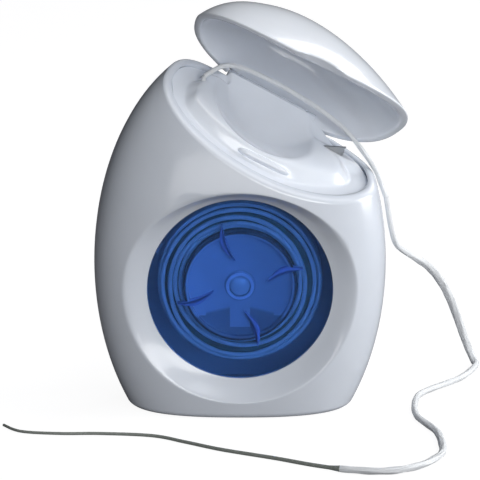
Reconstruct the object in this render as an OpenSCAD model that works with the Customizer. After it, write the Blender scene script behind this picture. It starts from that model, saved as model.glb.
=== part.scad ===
// Dental floss dispenser: an egg-shaped case with a slanted top deck, a flip-up lid,
// a round blue window and a spool of floss that turns on a spindle behind it.
// Millimetres. X to the right, Y to the back, Z up. The origin is the middle of the base.

/* [Case] */
// Width of the case at its widest
case_w = 58; // [52:1:68]
// Depth of the case, front to back
case_d = 28; // [26:1:34]
// Height of the widest section above the base
belly_z = 29; // [26:1:33]
// Height from the widest section to the crown of the closed lid
crown_h = 45; // [42:1:50]
// Squareness of the plan outline, where 2 is an ellipse
plan_n = 2.5; // [2.2:0.1:3]
// Wall thickness of the two shells
case_wall = 1.6; // [1.2:0.1:2]
// Rounding of the edge round the base
base_round = 1.2; // [0.6:0.1:1.6]
// Rounding of the rim round the top opening
rim_round = 0.9; // [0.5:0.1:1]

/* [Deck] */
// Height of the slanted top opening over the origin
deck_z = 58.3; // [55:0.5:61]
// Fall of the opening towards the right, in millimetres a millimetre
deck_fall = 0.675; // [0.6:0.005:0.72]
// How the fall eases towards the right end
deck_curl = 0.0088; // [0.006:0.0002:0.01]
// Rise of the opening towards the back, in millimetres a millimetre
deck_lean = 0.557; // [0.5:0.005:0.6]
// How that rise eases towards the right end
deck_twist = 0.0101; // [0.006:0.0002:0.012]
// Depth of the ledge below the rim
ledge_drop = 0.9; // [0.5:0.1:1.4]
// Width of the ledge between the rim and the upstand
ledge_w = 2.3; // [1.8:0.1:3]
// Height of the upstand over the rim
upstand_h = 2.2; // [1.6:0.1:2.6]
// Wall thickness of the deck moulding
deck_wall = 1.3; // [1:0.1:1.6]
// Depth of the skirt that plugs into the case
skirt_h = 2.4; // [2.2:0.1:2.8]
// Depth of the round finger scoop
scoop_h = 3; // [2:0.2:3.6]
// Radius of the finger scoop at its mouth
scoop_r = 10.6; // [9:0.2:11.4]
// Length of the snap bead on the front of the upstand
bead_l = 10; // [6:1:12]
// Diameter of the snap bead
bead_d = 1.5; // [1:0.1:1.8]
// Bore of the floss outlet
outlet_d = 1.8; // [1.4:0.1:2.2]

/* [Lid] */
// Wall thickness of the lid
lid_wall = 1.5; // [1.2:0.1:1.8]
// Gap between the closed lid and the rim
lid_gap = 0.3; // [0.2:0.05:0.5]
// How far the lid stands open
lid_open = 62; // [0:0.5:80]
// Radius of the thumb scallop in the front edge
scallop_r = 8; // [6:0.5:10]

/* [Hinge] */
// Place of the hinge axis across the case
hinge_x = 6; // [4:0.5:8]
// Depth of the hinge axis under the back of the case
hinge_inset = 1.5; // [1.3:0.1:2]
// Height of the hinge axis over the rim
hinge_rise = 1.6; // [1.4:0.1:2.2]
// Slant of the hinge axis
hinge_tilt = 28.7; // [27:0.1:31]
// Length of the knuckle on the lid
knuckle_l = 15; // [12:1:16]
// Diameter of the knuckle
knuckle_d = 2.6; // [2.4:0.1:2.8]
// Thickness of each hinge ear
ear_t = 2; // [1.6:0.1:2.4]
// Diameter of the trunnions on the knuckle
trunnion_d = 1.4; // [1:0.1:1.6]
// Running clearance of a trunnion in its ear, on the radius
trunnion_clear = 0.05; // [0.03:0.01:0.08]

/* [Cutter] */
// Length of the steel cutter along the slot
cutter_l = 4.6; // [3.6:0.1:5]
// Width of the cutter's foot
cutter_w = 2.4; // [2:0.1:3]
// Height of the cutting tooth over the foot
cutter_h = 2.1; // [1.6:0.1:2.4]
// Thickness of the steel
cutter_t = 0.4; // [0.3:0.05:0.5]

/* [Window] */
// Diameter of the round window opening
window_d = 36.5; // [32:0.5:38]
// Height of the window's centre
window_z = 26; // [25:0.5:28]
// Distance of the opening's edge in front of the middle of the case
window_y = 9; // [8.6:0.1:9.6]
// Thickness of the wall at the opening's edge
window_lip = 0.8; // [0.6:0.1:1]
// Thickness of the blue lens
lens_t = 1.6; // [1.3:0.1:1.8]
// Width of the flange that seats the lens
lens_flange_w = 1.7; // [1.2:0.1:2]
// Clearance round the lens
lens_clear = 0.05; // [0.03:0.01:0.1]

/* [Spool] */
// Diameter of the hub that carries the floss
hub_d = 22.4; // [20:0.2:24]
// Wall thickness of the hub
hub_wall = 0.9; // [0.7:0.1:1.2]
// How far the spool's back flange stands out past the wound layers' drum
flange_over = 1.4; // [0.8:0.1:2]
// Length of the hub behind the cup floor
hub_l = 11; // [9:0.5:11.5]
// Depth of the cup in the front of the hub
cup_h = 1.2; // [0.8:0.1:1.6]
// Number of curved fins that keep the winding on the hub
fin_n = 4; // [3:1:6]
// Greatest thickness of a fin
fin_t = 1.1; // [0.7:0.1:1.4]
// Radius at which a fin ends over the winding
fin_r = 12.9; // [12.4:0.1:13.6]
// Diameter of the spindle
spindle_d = 4; // [3:0.1:5]
// Running clearance of the spool on the spindle, on the radius
spindle_clear = 0.06; // [0.03:0.01:0.09]
// Number of ribs inside the hub
rib_n = 6; // [4:1:8]

/* [Floss] */
// Diameter of the floss in the winding
wound_d = 0.9; // [0.7:0.05:1]
// Clear gap between neighbouring turns of the winding
turn_gap = 0.45; // [0.42:0.01:0.6]
// Outer diameter of the plain core of wound floss
core_d = 30.8; // [29:0.2:31]
// Diameter of the floss between the spool and the outlet
lead_d = 0.9; // [0.7:0.05:1.1]
// Diameter of the fluffed floss over the deck
over_d = 1; // [0.8:0.05:1.2]
// Diameter of the fluffed floss in the free strand
strand_d = 1.2; // [1:0.05:1.5]
// Diameter of the thin waxed end
tail_d = 0.5; // [0.4:0.05:0.7]

/* [Hidden] */
seg = 56;
round_fn = 64;
over = 1;
white = "whitesmoke";
blue = "royalblue";
floss_white = "snow";
plug_clear = 0.05;
depth_power = 0.4;
width_power = 0.5;
scoop_x = 4.8;
scoop_y = 1.8;
outlet_x = -7;
outlet_y = 1.4;
bead_x = 4.6;
cutter_x = 18.2;
cutter_y = 2.2;
scallop_x = 3.4;
pocket_clear = 0.35;

// Case form
// Half width and half depth shrink from the widest section by a power of the height.
function rise_share(z, inset) = min(1, abs(z - belly_z) / (crown_h - inset));
function half_w(z, inset) = (case_w / 2 - inset) * pow(1 - pow(rise_share(z, inset), 2), width_power);
function half_d(z, inset) = (case_d / 2 - inset) * pow(1 - pow(rise_share(z, inset), 2), depth_power);
function spow(c) = sign(c) * pow(abs(c), 2 / plan_n);
function skin(a, z, inset) = [half_w(z, inset) * spow(cos(a)), half_d(z, inset) * spow(sin(a)), z];
function skin_y(x, z) = half_d(z, 0) * pow(max(0, 1 - pow(abs(x) / half_w(z, 0), plan_n)), 1 / plan_n);

// Slanted opening
function deck_at(x, y) = deck_z - deck_fall * x + deck_curl * x * x + (deck_lean - deck_twist * x) * y;
function slope_x(x, y) = -deck_fall + 2 * deck_curl * x - deck_twist * y;
function slope_y(x) = deck_lean - deck_twist * x;
function tilt_at(x, y) = atan(-slope_x(x, y));
function pitch_at(x, y) = atan(slope_y(x) * cos(tilt_at(x, y)));

// The upstand gets lower towards the right end.
function ease(t) = let (u = max(0, min(1, t))) u * u * (3 - 2 * u);
function up_share(x) = 1 - 0.45 * ease((x - 6) / 16);
function raised(x, h) = h > 0 ? h * up_share(x) : h;

// Height at which the skin at one angle crosses the opening, raised by h
function cross_z(a, inset, h, lo, hi, n) =
    n == 0 ? (lo + hi) / 2 :
    let (m = (lo + hi) / 2, p = skin(a, m, inset))
    m < deck_at(p[0], p[1]) + raised(p[0], h) ? cross_z(a, inset, h, m, hi, n - 1) : cross_z(a, inset, h, lo, m, n - 1);
function rim_z(a, inset, h) = cross_z(a, inset, h, belly_z, belly_z + crown_h - inset, 26);
function angle_of(k) = 360 * k / seg;
function level_ring(z, inset) = [for (k = [0:seg - 1]) skin(angle_of(k), z, inset)];
function rim_ring(inset, h) = [for (k = [0:seg - 1]) let (a = angle_of(k)) skin(a, rim_z(a, inset, h), inset)];
function share_ring(lo, t, inset) = [for (k = [0:seg - 1])
    let (a = angle_of(k), top = rim_z(a, inset, 0) - rim_round) skin(a, lo + (top - lo) * t, inset)];
function crown_ring(t, inset, h) = [for (k = [0:seg - 1])
    let (a = angle_of(k), lo = rim_z(a, inset, h), top = belly_z + crown_h - inset)
    skin(a, lo + (top - lo) * sin(90 * t), inset)];
function lifted(ring, h) = [for (p = ring) p + [0, 0, h]];

// Closed solid through a stack of rings, each end closed by a fan to its own middle
function middle(ring) = [for (i = [0:2]) [for (p = ring) p[i]] * [for (p = ring) 1] / len(ring)];
module loft(rings) {
    n = len(rings);
    m = len(rings[0]);
    points = concat([for (r = rings) each r], [middle(rings[0]), middle(rings[n - 1])]);
    sides = [for (i = [0:n - 2]) for (j = [0:m - 1])
        let (a = i * m + j, b = i * m + (j + 1) % m) each [[a, a + m, b + m], [a, b + m, b]]];
    bottom = [for (j = [0:m - 1]) [n * m, j, (j + 1) % m]];
    top = [for (j = [0:m - 1]) [n * m + 1, (n - 1) * m + (j + 1) % m, (n - 1) * m + j]];
    polyhedron(points, concat(sides, bottom, top), convexity = 8);
}

// Tube swept along a list of points with a radius at each, ends closed flat
function unit(v) = v / norm(v);
function path_dir(p, i) = unit(p[min(i + 1, len(p) - 1)] - p[max(i - 1, 0)]);
function carry(n, d) = unit(n - (n * d) * d);
function side_start(d) = carry(abs(d[2]) < 0.9 ? [0, 0, 1] : [1, 0, 0], d);
function sides_along(p, i, n, out) = i == len(p) ? out :
    let (s = carry(n, path_dir(p, i))) sides_along(p, i + 1, s, concat(out, [s]));
module tube(p, r, sides) {
    frames = sides_along(p, 0, side_start(path_dir(p, 0)), []);
    rings = [for (i = [0:len(p) - 1])
        let (d = path_dir(p, i), u = frames[i], v = cross(d, u))
        [for (k = [0:sides - 1]) p[i] + r[i] * (cos(360 * k / sides) * u + sin(360 * k / sides) * v)]];
    loft(rings);
}

// Smooth curve through hand-chosen points
function catmull(a, b, c, d, t) = 0.5 * ((2 * b) + (c - a) * t + (2 * a - 5 * b + 4 * c - d) * t * t
    + (3 * b - a - 3 * c + d) * t * t * t);
function through(p, steps) = concat([for (i = [0:len(p) - 2]) for (s = [0:steps - 1])
    catmull(p[max(i - 1, 0)], p[i], p[i + 1], p[min(i + 2, len(p) - 1)], s / steps)], [p[len(p) - 1]]);

// Places on the deck and on the hinge axis
module on_deck(x, y, h) {
    translate([x, y, deck_at(x, y) + h])
        rotate([0, tilt_at(x, y), 0])
            rotate([pitch_at(x, y), 0, 0])
                children();
}
hinge_guess_z = deck_at(hinge_x, case_d / 3) + hinge_rise;
hinge_y = skin_y(hinge_x, hinge_guess_z) - hinge_inset;
hinge_z = deck_at(hinge_x, hinge_y) + hinge_rise;
hinge_at = [hinge_x, hinge_y, hinge_z];
hinge_clear = 0.3;
ear_reach = knuckle_l / 2 + hinge_clear + ear_t;
ear_d = knuckle_d;
// Along the hinge axis, with X along it, Y to the back and Z square to both
module at_hinge() {
    translate(hinge_at)
        rotate([0, hinge_tilt, 0])
            children();
}
module along_x(d, lo, hi) {
    translate([lo, 0, 0])
        rotate([0, 90, 0])
            cylinder(d = d, h = hi - lo, $fn = round_fn);
}
module along_y(d, lo, hi) {
    translate([0, hi, 0])
        rotate([90, 0, 0])
            cylinder(d = d, h = hi - lo, $fn = round_fn);
}
// The lid's back wall stops level with the axis along the hinge, and what is left of it
// behind the axis swings down through this radius.
swing_r = norm([hinge_inset, hinge_inset]) + hinge_clear;
hinge_span = ear_reach + hinge_clear;
trough_span = hinge_span + 6;
// Space behind the hinge ridge that the back wall of the lid turns into
module swing_space() {
    at_hinge() {
        along_x(knuckle_d + 2 * hinge_clear, -hinge_span, hinge_span);
        intersection() {
            along_x(2 * swing_r, -trough_span, trough_span);
            translate([-trough_span, ridge_back, -swing_r])
                cube([2 * trough_span, 2 * swing_r, 2 * swing_r]);
        }
    }
}
// The ridge in front of the knuckle rises this far over the axis.
ridge_lip = knuckle_d / 2;
ridge_back = 0.6;
ridge_front = -knuckle_d / 2 - hinge_clear - 0.5;

// Case shells
module case_outside() {
    loft([
        level_ring(0, base_round),
        level_ring(base_round * 0.3, base_round * 0.3),
        level_ring(base_round, 0),
        share_ring(base_round, 0.12, 0),
        share_ring(base_round, 0.25, 0),
        share_ring(base_round, 0.4, 0),
        share_ring(base_round, 0.55, 0),
        share_ring(base_round, 0.7, 0),
        share_ring(base_round, 0.85, 0),
        share_ring(base_round, 1, 0),
        rim_ring(rim_round * 0.3, -rim_round * 0.3),
        rim_ring(rim_round, 0)
    ]);
}
module case_inside() {
    mouth = rim_ring(case_wall, 0);
    loft([
        level_ring(case_wall, case_wall + base_round),
        level_ring(case_wall + base_round, case_wall),
        share_ring(case_wall + base_round, 0.25, case_wall),
        share_ring(case_wall + base_round, 0.5, case_wall),
        share_ring(case_wall + base_round, 0.75, case_wall),
        share_ring(case_wall + base_round, 1, case_wall),
        mouth,
        lifted(mouth, crown_h / 4)
    ]);
}
module half_space(front) {
    size = 3 * case_w;
    translate([-size / 2, front ? -size : 0, -over])
        cube([size, size, size]);
}
module half_shell(front) {
    intersection() {
        difference() {
            case_outside();
            case_inside();
        }
        half_space(front);
    }
}

window_r = window_d / 2;
seat_r = window_r + lens_flange_w;
lens_back = -window_y + window_lip / 8 + lens_t;
flange_front = -window_y + window_lip;
frame_back = lens_back + 0.5;
frame_w = lens_flange_w + 1.2;
// Flared surround. It widens to the sides, up and down by these amounts over these depths.
flare_side = [3.9, 1.7];
flare_up = [2, 4.2];
flare_down = [3.6, 3.2];
flare_d = case_d / 2 - window_y + over;
flare_steps = 6;
flare_seg = 96;
function flare_pick(a, i) = flare_side[i] * pow(cos(a), 2) + (sin(a) > 0 ? flare_up[i] : flare_down[i]) * pow(sin(a), 2);
function flare_r(a, d) = window_r / cos(180 / flare_seg) + 0.01
    + flare_pick(a, 0) * (1 - exp(-1.3 * d / flare_pick(a, 1))) / (1 - exp(-1.3));
function flare_ring(d) = [for (k = [0:flare_seg - 1]) let (a = 360 * k / flare_seg)
    [flare_r(a, d) * cos(a), -window_y - d, window_z + flare_r(a, d) * sin(a)]];
module window_flare() {
    loft([for (i = [0:flare_steps]) flare_ring(flare_d * pow(i / flare_steps, 1.4))]);
}
module at_window() {
    translate([0, 0, window_z])
        children();
}
module window_frame() {
    intersection() {
        case_outside();
        at_window()
            along_y(2 * (window_r + frame_w), -case_d, frame_back);
    }
}

module front_shell() {
    color(white)
        difference() {
            union() {
                half_shell(true);
                window_frame();
            }
            window_flare();
            at_window() {
                along_y(window_d, -case_d, 0);
                along_y(2 * seat_r, flange_front, 0);
            }
        }
}

// Spool and spindle sizes along the spindle
spool_front = lens_back + 0.4;
cup_floor = spool_front + cup_h;
floor_t = 1;
spool_back = cup_floor + hub_l;
flange_t = 1;
flange_d = core_d + 2 * flange_over;
shoulder_gap = 0.05;
shoulder_d = 2 * spindle_d;
spindle_tip = spool_front - 0.1;
back_wall_y = case_d / 2 - case_wall;

dome_h = 0.7;
dome_steps = 5;
module spindle() {
    r = spindle_d / 2;
    rotate([-90, 0, 0])
        rotate_extrude($fn = round_fn)
            polygon(concat(
                [[0, spindle_tip]],
                [for (i = [1:dome_steps]) let (a = 90 * i / dome_steps)
                    [r * sin(a), spindle_tip + dome_h * (1 - cos(a))]],
                [
                    [r, spool_back + shoulder_gap], [shoulder_d / 2, spool_back + shoulder_gap],
                    [shoulder_d / 2, back_wall_y + case_wall / 2], [0, back_wall_y + case_wall / 2]
                ]
            ));
}
module rear_shell() {
    color(white)
        difference() {
            union() {
                half_shell(false);
                at_window()
                    spindle();
            }
            swing_space();
            hinge_seat(plug_clear);
        }
}

// Deck moulding
upstand_in = case_wall + ledge_w;
upstand_edge = 3.4;
upstand_flat = upstand_in + upstand_edge;
module deck_top() {
    loft([
        rim_ring(case_wall + plug_clear, -skirt_h),
        rim_ring(case_wall + plug_clear, -ledge_drop),
        rim_ring(upstand_in, -ledge_drop),
        rim_ring(upstand_in + 0.35, 0),
        rim_ring(upstand_in + 0.7, upstand_h * 0.75),
        rim_ring(upstand_in + 1.1, upstand_h * 0.95),
        rim_ring(upstand_in + 1.8, upstand_h),
        rim_ring(upstand_flat, upstand_h)
    ]);
}
// As the top, but with depth below it for what hangs under the deck
module deck_block() {
    loft([
        rim_ring(upstand_in, -2 * skirt_h),
        rim_ring(upstand_in, -ledge_drop),
        rim_ring(upstand_in + 0.35, 0),
        rim_ring(upstand_in + 0.7, upstand_h * 0.75),
        rim_ring(upstand_in + 1.1, upstand_h * 0.95),
        rim_ring(upstand_in + 1.8, upstand_h),
        rim_ring(upstand_flat, upstand_h)
    ]);
}
module deck_under() {
    skirt_in = case_wall + plug_clear + deck_wall;
    loft([
        lifted(rim_ring(skirt_in, -skirt_h), -over),
        rim_ring(skirt_in, -ledge_drop - deck_wall),
        rim_ring(upstand_in + deck_wall + 0.1, -ledge_drop - deck_wall),
        rim_ring(upstand_in + deck_wall + 0.8, upstand_h - deck_wall),
        rim_ring(upstand_flat, upstand_h - deck_wall)
    ]);
}
scoop_ball_r = (scoop_r * scoop_r + scoop_h * scoop_h) / (2 * scoop_h);
module scoop_ball(r) {
    on_deck(scoop_x, scoop_y, upstand_h - 0.2)
        translate([0, 0, scoop_ball_r - scoop_h])
            sphere(r = r, $fn = 2 * round_fn);
}
pocket_l = cutter_l + 2 * pocket_clear;
pocket_w = cutter_w + 2 * pocket_clear;
pocket_h = 2.2;
module cutter_pocket(grow, deep) {
    on_deck(cutter_x, cutter_y, upstand_h * up_share(cutter_x))
        translate([-pocket_l / 2 - grow, -pocket_w / 2 - grow, -pocket_h - deep])
            cube([pocket_l + 2 * grow, pocket_w + 2 * grow, pocket_h + deep + over]);
}
// Bore along the rising floss
module outlet(d) {
    run = outlet_top - lead_points[3];
    translate(outlet_top)
        rotate([0, atan2(run[0], run[2]), 0])
            cylinder(d = d, h = 4 * upstand_h, center = true, $fn = round_fn);
}
module snap_bead() {
    bead_y = -skin_y(bead_x, deck_at(bead_x, -case_d / 3)) + upstand_in + 0.4;
    on_deck(bead_x, bead_y, 0.55) {
        along_x(bead_d, -bead_l / 2, bead_l / 2);
        for (s = [-1, 1])
            translate([s * bead_l / 2, 0, 0])
                sphere(d = bead_d, $fn = round_fn);
    }
}
// Everything the hinge adds to the deck stays inside this outline.
module egg(inset) {
    loft([for (i = [0:8]) level_ring(belly_z + (crown_h - inset) * sin(10 * i), inset)]);
}
module ear(lo) {
    along_x(ear_d, lo, lo + ear_t);
    translate([lo, -ear_d / 2, -hinge_rise - ledge_drop])
        cube([ear_t, ear_d / 2 + ridge_back, hinge_rise + ledge_drop]);
}
module ears() {
    intersection() {
        egg(0.1);
        at_hinge() {
            ear(-ear_reach);
            ear(ear_reach - ear_t);
        }
    }
}
// Ridge that closes the deck under the knuckle, and the seat it takes in the rear shell
module hinge_seat(grow) {
    at_hinge()
        translate([-ear_reach - grow, ridge_front, -hinge_rise - ledge_drop - grow])
            cube([2 * (ear_reach + grow), ridge_back + grow - ridge_front, 2 * hinge_rise + ledge_drop]);
}
module ridge_part(half_l, back, top) {
    translate([-half_l, back - 2 * case_d, -case_d])
        cube([2 * half_l, 2 * case_d, case_d + top]);
}
module hinge_ridge() {
    intersection() {
        egg(0.4);
        hinge_seat(0);
        at_hinge() {
            ridge_part(ear_reach, ridge_back, 0);
            ridge_part(ear_reach - ear_t, -knuckle_d / 2 - hinge_clear, ridge_lip);
        }
    }
}
module deck() {
    color(white)
        difference() {
            union() {
                difference() {
                    union() {
                        difference() {
                            deck_top();
                            deck_under();
                        }
                        intersection() {
                            deck_block();
                            union() {
                                scoop_ball(scoop_ball_r + deck_wall);
                                cutter_pocket(deck_wall, deck_wall);
                            }
                        }
                        snap_bead();
                    }
                    scoop_ball(scoop_ball_r);
                    swing_space();
                }
                difference() {
                    hinge_ridge();
                    swing_space();
                }
                ears();
            }
            cutter_pocket(0, 0);
            at_window()
                along_y(2 * (window_r + frame_w + hinge_clear), -case_d, frame_back + hinge_clear);
            outlet(outlet_d);
            at_hinge()
                along_x(trunnion_d + 2 * trunnion_clear, -ear_reach + 0.6, ear_reach - 0.6);
        }
}

// Steel cutter: a foot on the pocket's floor with an upright plate, whose top edge lies level
// and whose low end is toothed
tooth_n = 2;
module cutter() {
    rise = cutter_l * tan(tilt_at(cutter_x, cutter_y));
    tooth = cutter_h / 4;
    color("silver")
        on_deck(cutter_x, cutter_y, upstand_h * up_share(cutter_x))
            translate([0, 0, -pocket_h]) {
                translate([-cutter_l / 2, -cutter_w / 2, 0])
                    cube([cutter_l, cutter_w, cutter_t]);
                translate([0, cutter_w / 2, 0])
                    rotate([90, 0, 0])
                        linear_extrude(cutter_t)
                            polygon(concat(
                                [[-cutter_l / 2, cutter_h], [-cutter_l / 2, 0], [cutter_l / 2, 0]],
                                [for (i = [0:2 * tooth_n])
                                    [cutter_l / 2 - (i % 2) * tooth, cutter_h / 2 + i * tooth]],
                                [[cutter_l / 2, cutter_h + rise]]
                            ));
            }
}

// Lid, drawn closed and then swung open about the hinge axis
module lid_outside() {
    loft([
        rim_ring(0.5, lid_gap),
        rim_ring(0, lid_gap + 0.5),
        crown_ring(0.1, 0, lid_gap + 0.5),
        crown_ring(0.22, 0, lid_gap + 0.5),
        crown_ring(0.36, 0, lid_gap + 0.5),
        crown_ring(0.5, 0, lid_gap + 0.5),
        crown_ring(0.64, 0, lid_gap + 0.5),
        crown_ring(0.78, 0, lid_gap + 0.5),
        crown_ring(0.9, 0, lid_gap + 0.5)
    ]);
}
module lid_inside() {
    mouth = rim_ring(lid_wall, lid_gap + 0.4);
    loft([
        lifted(rim_ring(lid_wall - 0.4, lid_gap), -over),
        rim_ring(lid_wall - 0.4, lid_gap),
        mouth,
        crown_ring(0.15, lid_wall, lid_gap + 0.4),
        crown_ring(0.3, lid_wall, lid_gap + 0.4),
        crown_ring(0.46, lid_wall, lid_gap + 0.4),
        crown_ring(0.62, lid_wall, lid_gap + 0.4),
        crown_ring(0.78, lid_wall, lid_gap + 0.4),
        crown_ring(0.9, lid_wall, lid_gap + 0.4)
    ]);
}
module thumb_scallop() {
    edge_z = deck_at(scallop_x, -case_d / 3);
    edge_y = -skin_y(scallop_x, edge_z);
    on_deck(scallop_x, edge_y, 0)
        translate([0, -scallop_r * 0.62, -scallop_r * 0.42])
            sphere(r = scallop_r, $fn = round_fn);
}
module closed_lid() {
    difference() {
        lid_outside();
        lid_inside();
        thumb_scallop();
        at_hinge() {
            for (lo = [-ear_reach - hinge_clear, ear_reach - ear_t - hinge_clear])
                along_x(ear_d + 2 * hinge_clear, lo, lo + ear_t + 2 * hinge_clear);
            translate([-hinge_span, ridge_front - 1, -2 * hinge_rise])
                cube([2 * hinge_span, case_d / 2, 2 * hinge_rise]);
        }
    }
    at_hinge() {
        along_x(knuckle_d, -knuckle_l / 2, knuckle_l / 2);
        along_x(trunnion_d, -ear_reach + 0.8, ear_reach - 0.8);
    }
}
module swung(angle) {
    translate(hinge_at)
        rotate([0, hinge_tilt, 0])
            rotate([-angle, 0, 0])
                rotate([0, -hinge_tilt, 0])
                    translate(-hinge_at)
                        children();
}
module lid() {
    color(white)
        swung(lid_open)
            closed_lid();
}

// Blue lens: a flat disc with a step that fills the opening
module window_lens() {
    color(blue, 0.5)
        at_window() {
            along_y(window_d - 2 * lens_clear, lens_back - lens_t, lens_back);
            along_y(2 * (seat_r - lens_clear), flange_front, lens_back);
        }
}

// Spool: cup-fronted hub, back flange, ribs and curved fins
fin_inner_r = 5.3;
fin_steps = 8;
fin_turn = 16;
fin_bow = 0.9;
function fin_mid(t) = [fin_inner_r + (fin_r - fin_inner_r) * t, fin_bow * sin(180 * t) - 0.5 * (1 - t)];
function fin_half(t) = max(0.08, fin_t / 2 * sin(180 * pow(t, 1.2)));
module fin() {
    polygon(concat(
        [for (i = [0:fin_steps]) let (t = i / fin_steps) fin_mid(t) + [0, fin_half(t)]],
        [for (i = [fin_steps:-1:0]) let (t = i / fin_steps) fin_mid(t) - [0, fin_half(t)]]
    ));
}
module upright(lo, hi) {
    translate([0, hi, 0])
        rotate([90, 0, 0])
            linear_extrude(hi - lo)
                children();
}
fin_front = spool_front - 0.2;
fin_back = cup_floor + 0.4;
collar_d = spindle_d + 1.6;
module spool() {
    color("mediumblue", 0.7)
        at_window()
            difference() {
                union() {
                    difference() {
                        along_y(hub_d, spool_front, spool_back);
                        along_y(hub_d - 2 * hub_wall, spool_front - over, cup_floor);
                        along_y(hub_d - 2 * hub_wall, cup_floor + floor_t, spool_back + over);
                    }
                    along_y(collar_d, spool_front + 0.2, spool_back);
                    along_y(flange_d, spool_back - flange_t, spool_back);
                    for (k = [0:rib_n - 1])
                        rotate([0, 360 * k / rib_n + 90, 0])
                            translate([collar_d / 2 - 0.2, cup_floor + floor_t / 2, -0.5])
                                cube([(hub_d - collar_d) / 2 - hub_wall + 0.4, hub_l - floor_t, 1]);
                    upright(fin_front, fin_back)
                        for (k = [0:fin_n - 1])
                            rotate(fin_turn + 360 * k / fin_n)
                                fin();
                }
                along_y(spindle_d + 2 * spindle_clear, -case_d, case_d);
            }
}

// Floss on the spool: a plain core under one outer layer of turns
core_front = fin_back + wound_d + 0.35;
core_back = spool_back - flange_t - 0.05;
core_r = core_d / 2;
seat = 0.05;
core_edge = 1.1;
module floss_core() {
    core_in = hub_d / 2 + seat;
    color(floss_white)
        at_window()
            rotate([-90, 0, 0])
                rotate_extrude($fn = round_fn)
                    polygon([
                        [core_in, core_front], [core_r - core_edge, core_front],
                        [core_r, core_front + core_edge], [core_r, core_back], [core_in, core_back]
                    ]);
}

// The outer layer spirals out over the front of the core, rounds its edge and winds back along it.
wind_steps = 24;
wind_pitch = 1.05 * (wound_d + turn_gap);
face_y = core_front - wound_d / 2 - seat;
drum_r = (core_r + wound_d / 2 + seat) / cos(180 / wind_steps);
face_r = hub_d / 2 + wound_d / 2 + 0.3;
turn_r = 1.6;
face_run = drum_r - turn_r - face_r;
edge_run = turn_r * PI / 2;
drum_run = core_back - wound_d / 2 - 0.3 - face_y - turn_r;
function wind_profile(s) =
    s < face_run ? [face_r + s, face_y] :
    s < face_run + edge_run ? let (a = (s - face_run) / turn_r * 180 / PI)
        [drum_r - turn_r + turn_r * sin(a), face_y + turn_r - turn_r * cos(a)] :
    [drum_r, face_y + turn_r + s - face_run - edge_run];
wind_turns = (face_run + edge_run + drum_run) / wind_pitch;
wind_last = floor(wind_turns * wind_steps);
function wind_point(k) = let (a = 360 * k / wind_steps, q = wind_profile(wind_pitch * k / wind_steps))
    [q[0] * cos(a), q[1], window_z + q[0] * sin(a)];
wind_core = [for (k = [0:wind_last]) wind_point(k)];
function straight_on(from, to, d) = to + unit(to - from) * d;
wind_path = concat([straight_on(wind_core[1], wind_core[0], wound_d)], wind_core,
    [straight_on(wind_core[wind_last - 1], wind_core[wind_last], wound_d)]);
wind_gap = min([for (k = [0:wind_last - wind_steps]) for (s = [-2:2])
    let (j = k + wind_steps + s) if (j <= wind_last) norm(wind_core[k] - wind_core[j])]) - wound_d;
echo("least gap between turns of the winding, mm", wind_gap);
echo("turns in the winding", wind_turns);
module floss_winding() {
    color(floss_white)
        tube(wind_path, [for (p = wind_path) wound_d / 2], 6);
}

// Floss that leaves the spool and rises inside the case to the outlet
lead_angle = 165;
lead_r = drum_r + wound_d / 2 + lead_d / 2 + 0.3;
outlet_top = [outlet_x, outlet_y, deck_at(outlet_x, outlet_y) + upstand_h];
lead_from = [lead_r * cos(lead_angle), outlet_y, window_z + lead_r * sin(lead_angle)];
lead_points = [lead_from, [-12.6, outlet_y, 44.5], [-9.6, outlet_y, 55], [-7.9, outlet_y, 61],
    outlet_top];
module floss_lead() {
    path = through(lead_points, 1);
    color(floss_white)
        tube(path, [for (p = path) lead_d / 2], 8);
}

// Free floss, by points chosen along its route
over_points = [outlet_top, [-3.4, 3, 68.2], [0, 4, 67.8], [6, 5, 65], [12, 5.5, 61.5],
    [17, 5.4, 58.2], [21, 5, 54.8], [24.4, 4, 50.8], [27, 2.6, 47], [29, 2, 42]];
strand_points = [[29, 2, 42], [30.4, 3.2, 34.6], [31.6, 5.4, 31.2], [33.8, 8, 28.8], [39.4, 13, 23.8],
    [43.8, 18.4, 16], [47.4, 23, 6.2], [48.8, 23.6, 2.8], [49.6, 22.4, 1], [49.6, 19.4, 0.7],
    [45.6, 11.6, 0.7], [38.2, 3.8, 0.7], [35.6, -1.2, 0.7], [35, -11, 0.7], [38.2, -20.2, 0.7],
    [38.6, -29.6, 0.7], [37.2, -33.8, 0.7], [33.8, -38, 0.7], [28, -41, 0.7], [20.4, -40.4, 0.7],
    [14.4, -37.6, 0.4], [6, -33.2, 0.3], [-3.4, -29, 0.3], [-10.6, -24.8, 0.3], [-17, -21.4, 0.3],
    [-27, -20.2, 0.3], [-35, -20.2, 0.3], [-42.6, -19, 0.3], [-46.4, -15.4, 0.3]];
thin_from = 20;
function strand_radius(i, steps) = i / steps < thin_from - 0.6 ? strand_d / 2 : tail_d / 2;
module floss_over_deck() {
    path = through(over_points, 2);
    color(floss_white)
        tube(path, [for (p = path) over_d / 2], 8);
}
module floss_strand() {
    steps = 2;
    path = through(strand_points, steps);
    color(floss_white)
        tube(path, [for (i = [0:len(path) - 1]) strand_radius(i, steps)], 8);
}

front_shell();
rear_shell();
deck();
lid();
cutter();
window_lens();
spool();
floss_core();
floss_winding();
floss_lead();
floss_over_deck();
floss_strand();
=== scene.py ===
"""Dental floss dispenser: smooth moulded surfaces, finishes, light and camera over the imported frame.

Sizes are in millimetres in the row's frame, X to the right, Y to the back and Z up, and
become metres when a mesh is made.
"""
import logging
import math
from collections.abc import Callable
from dataclasses import dataclass
from enum import Enum

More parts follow.
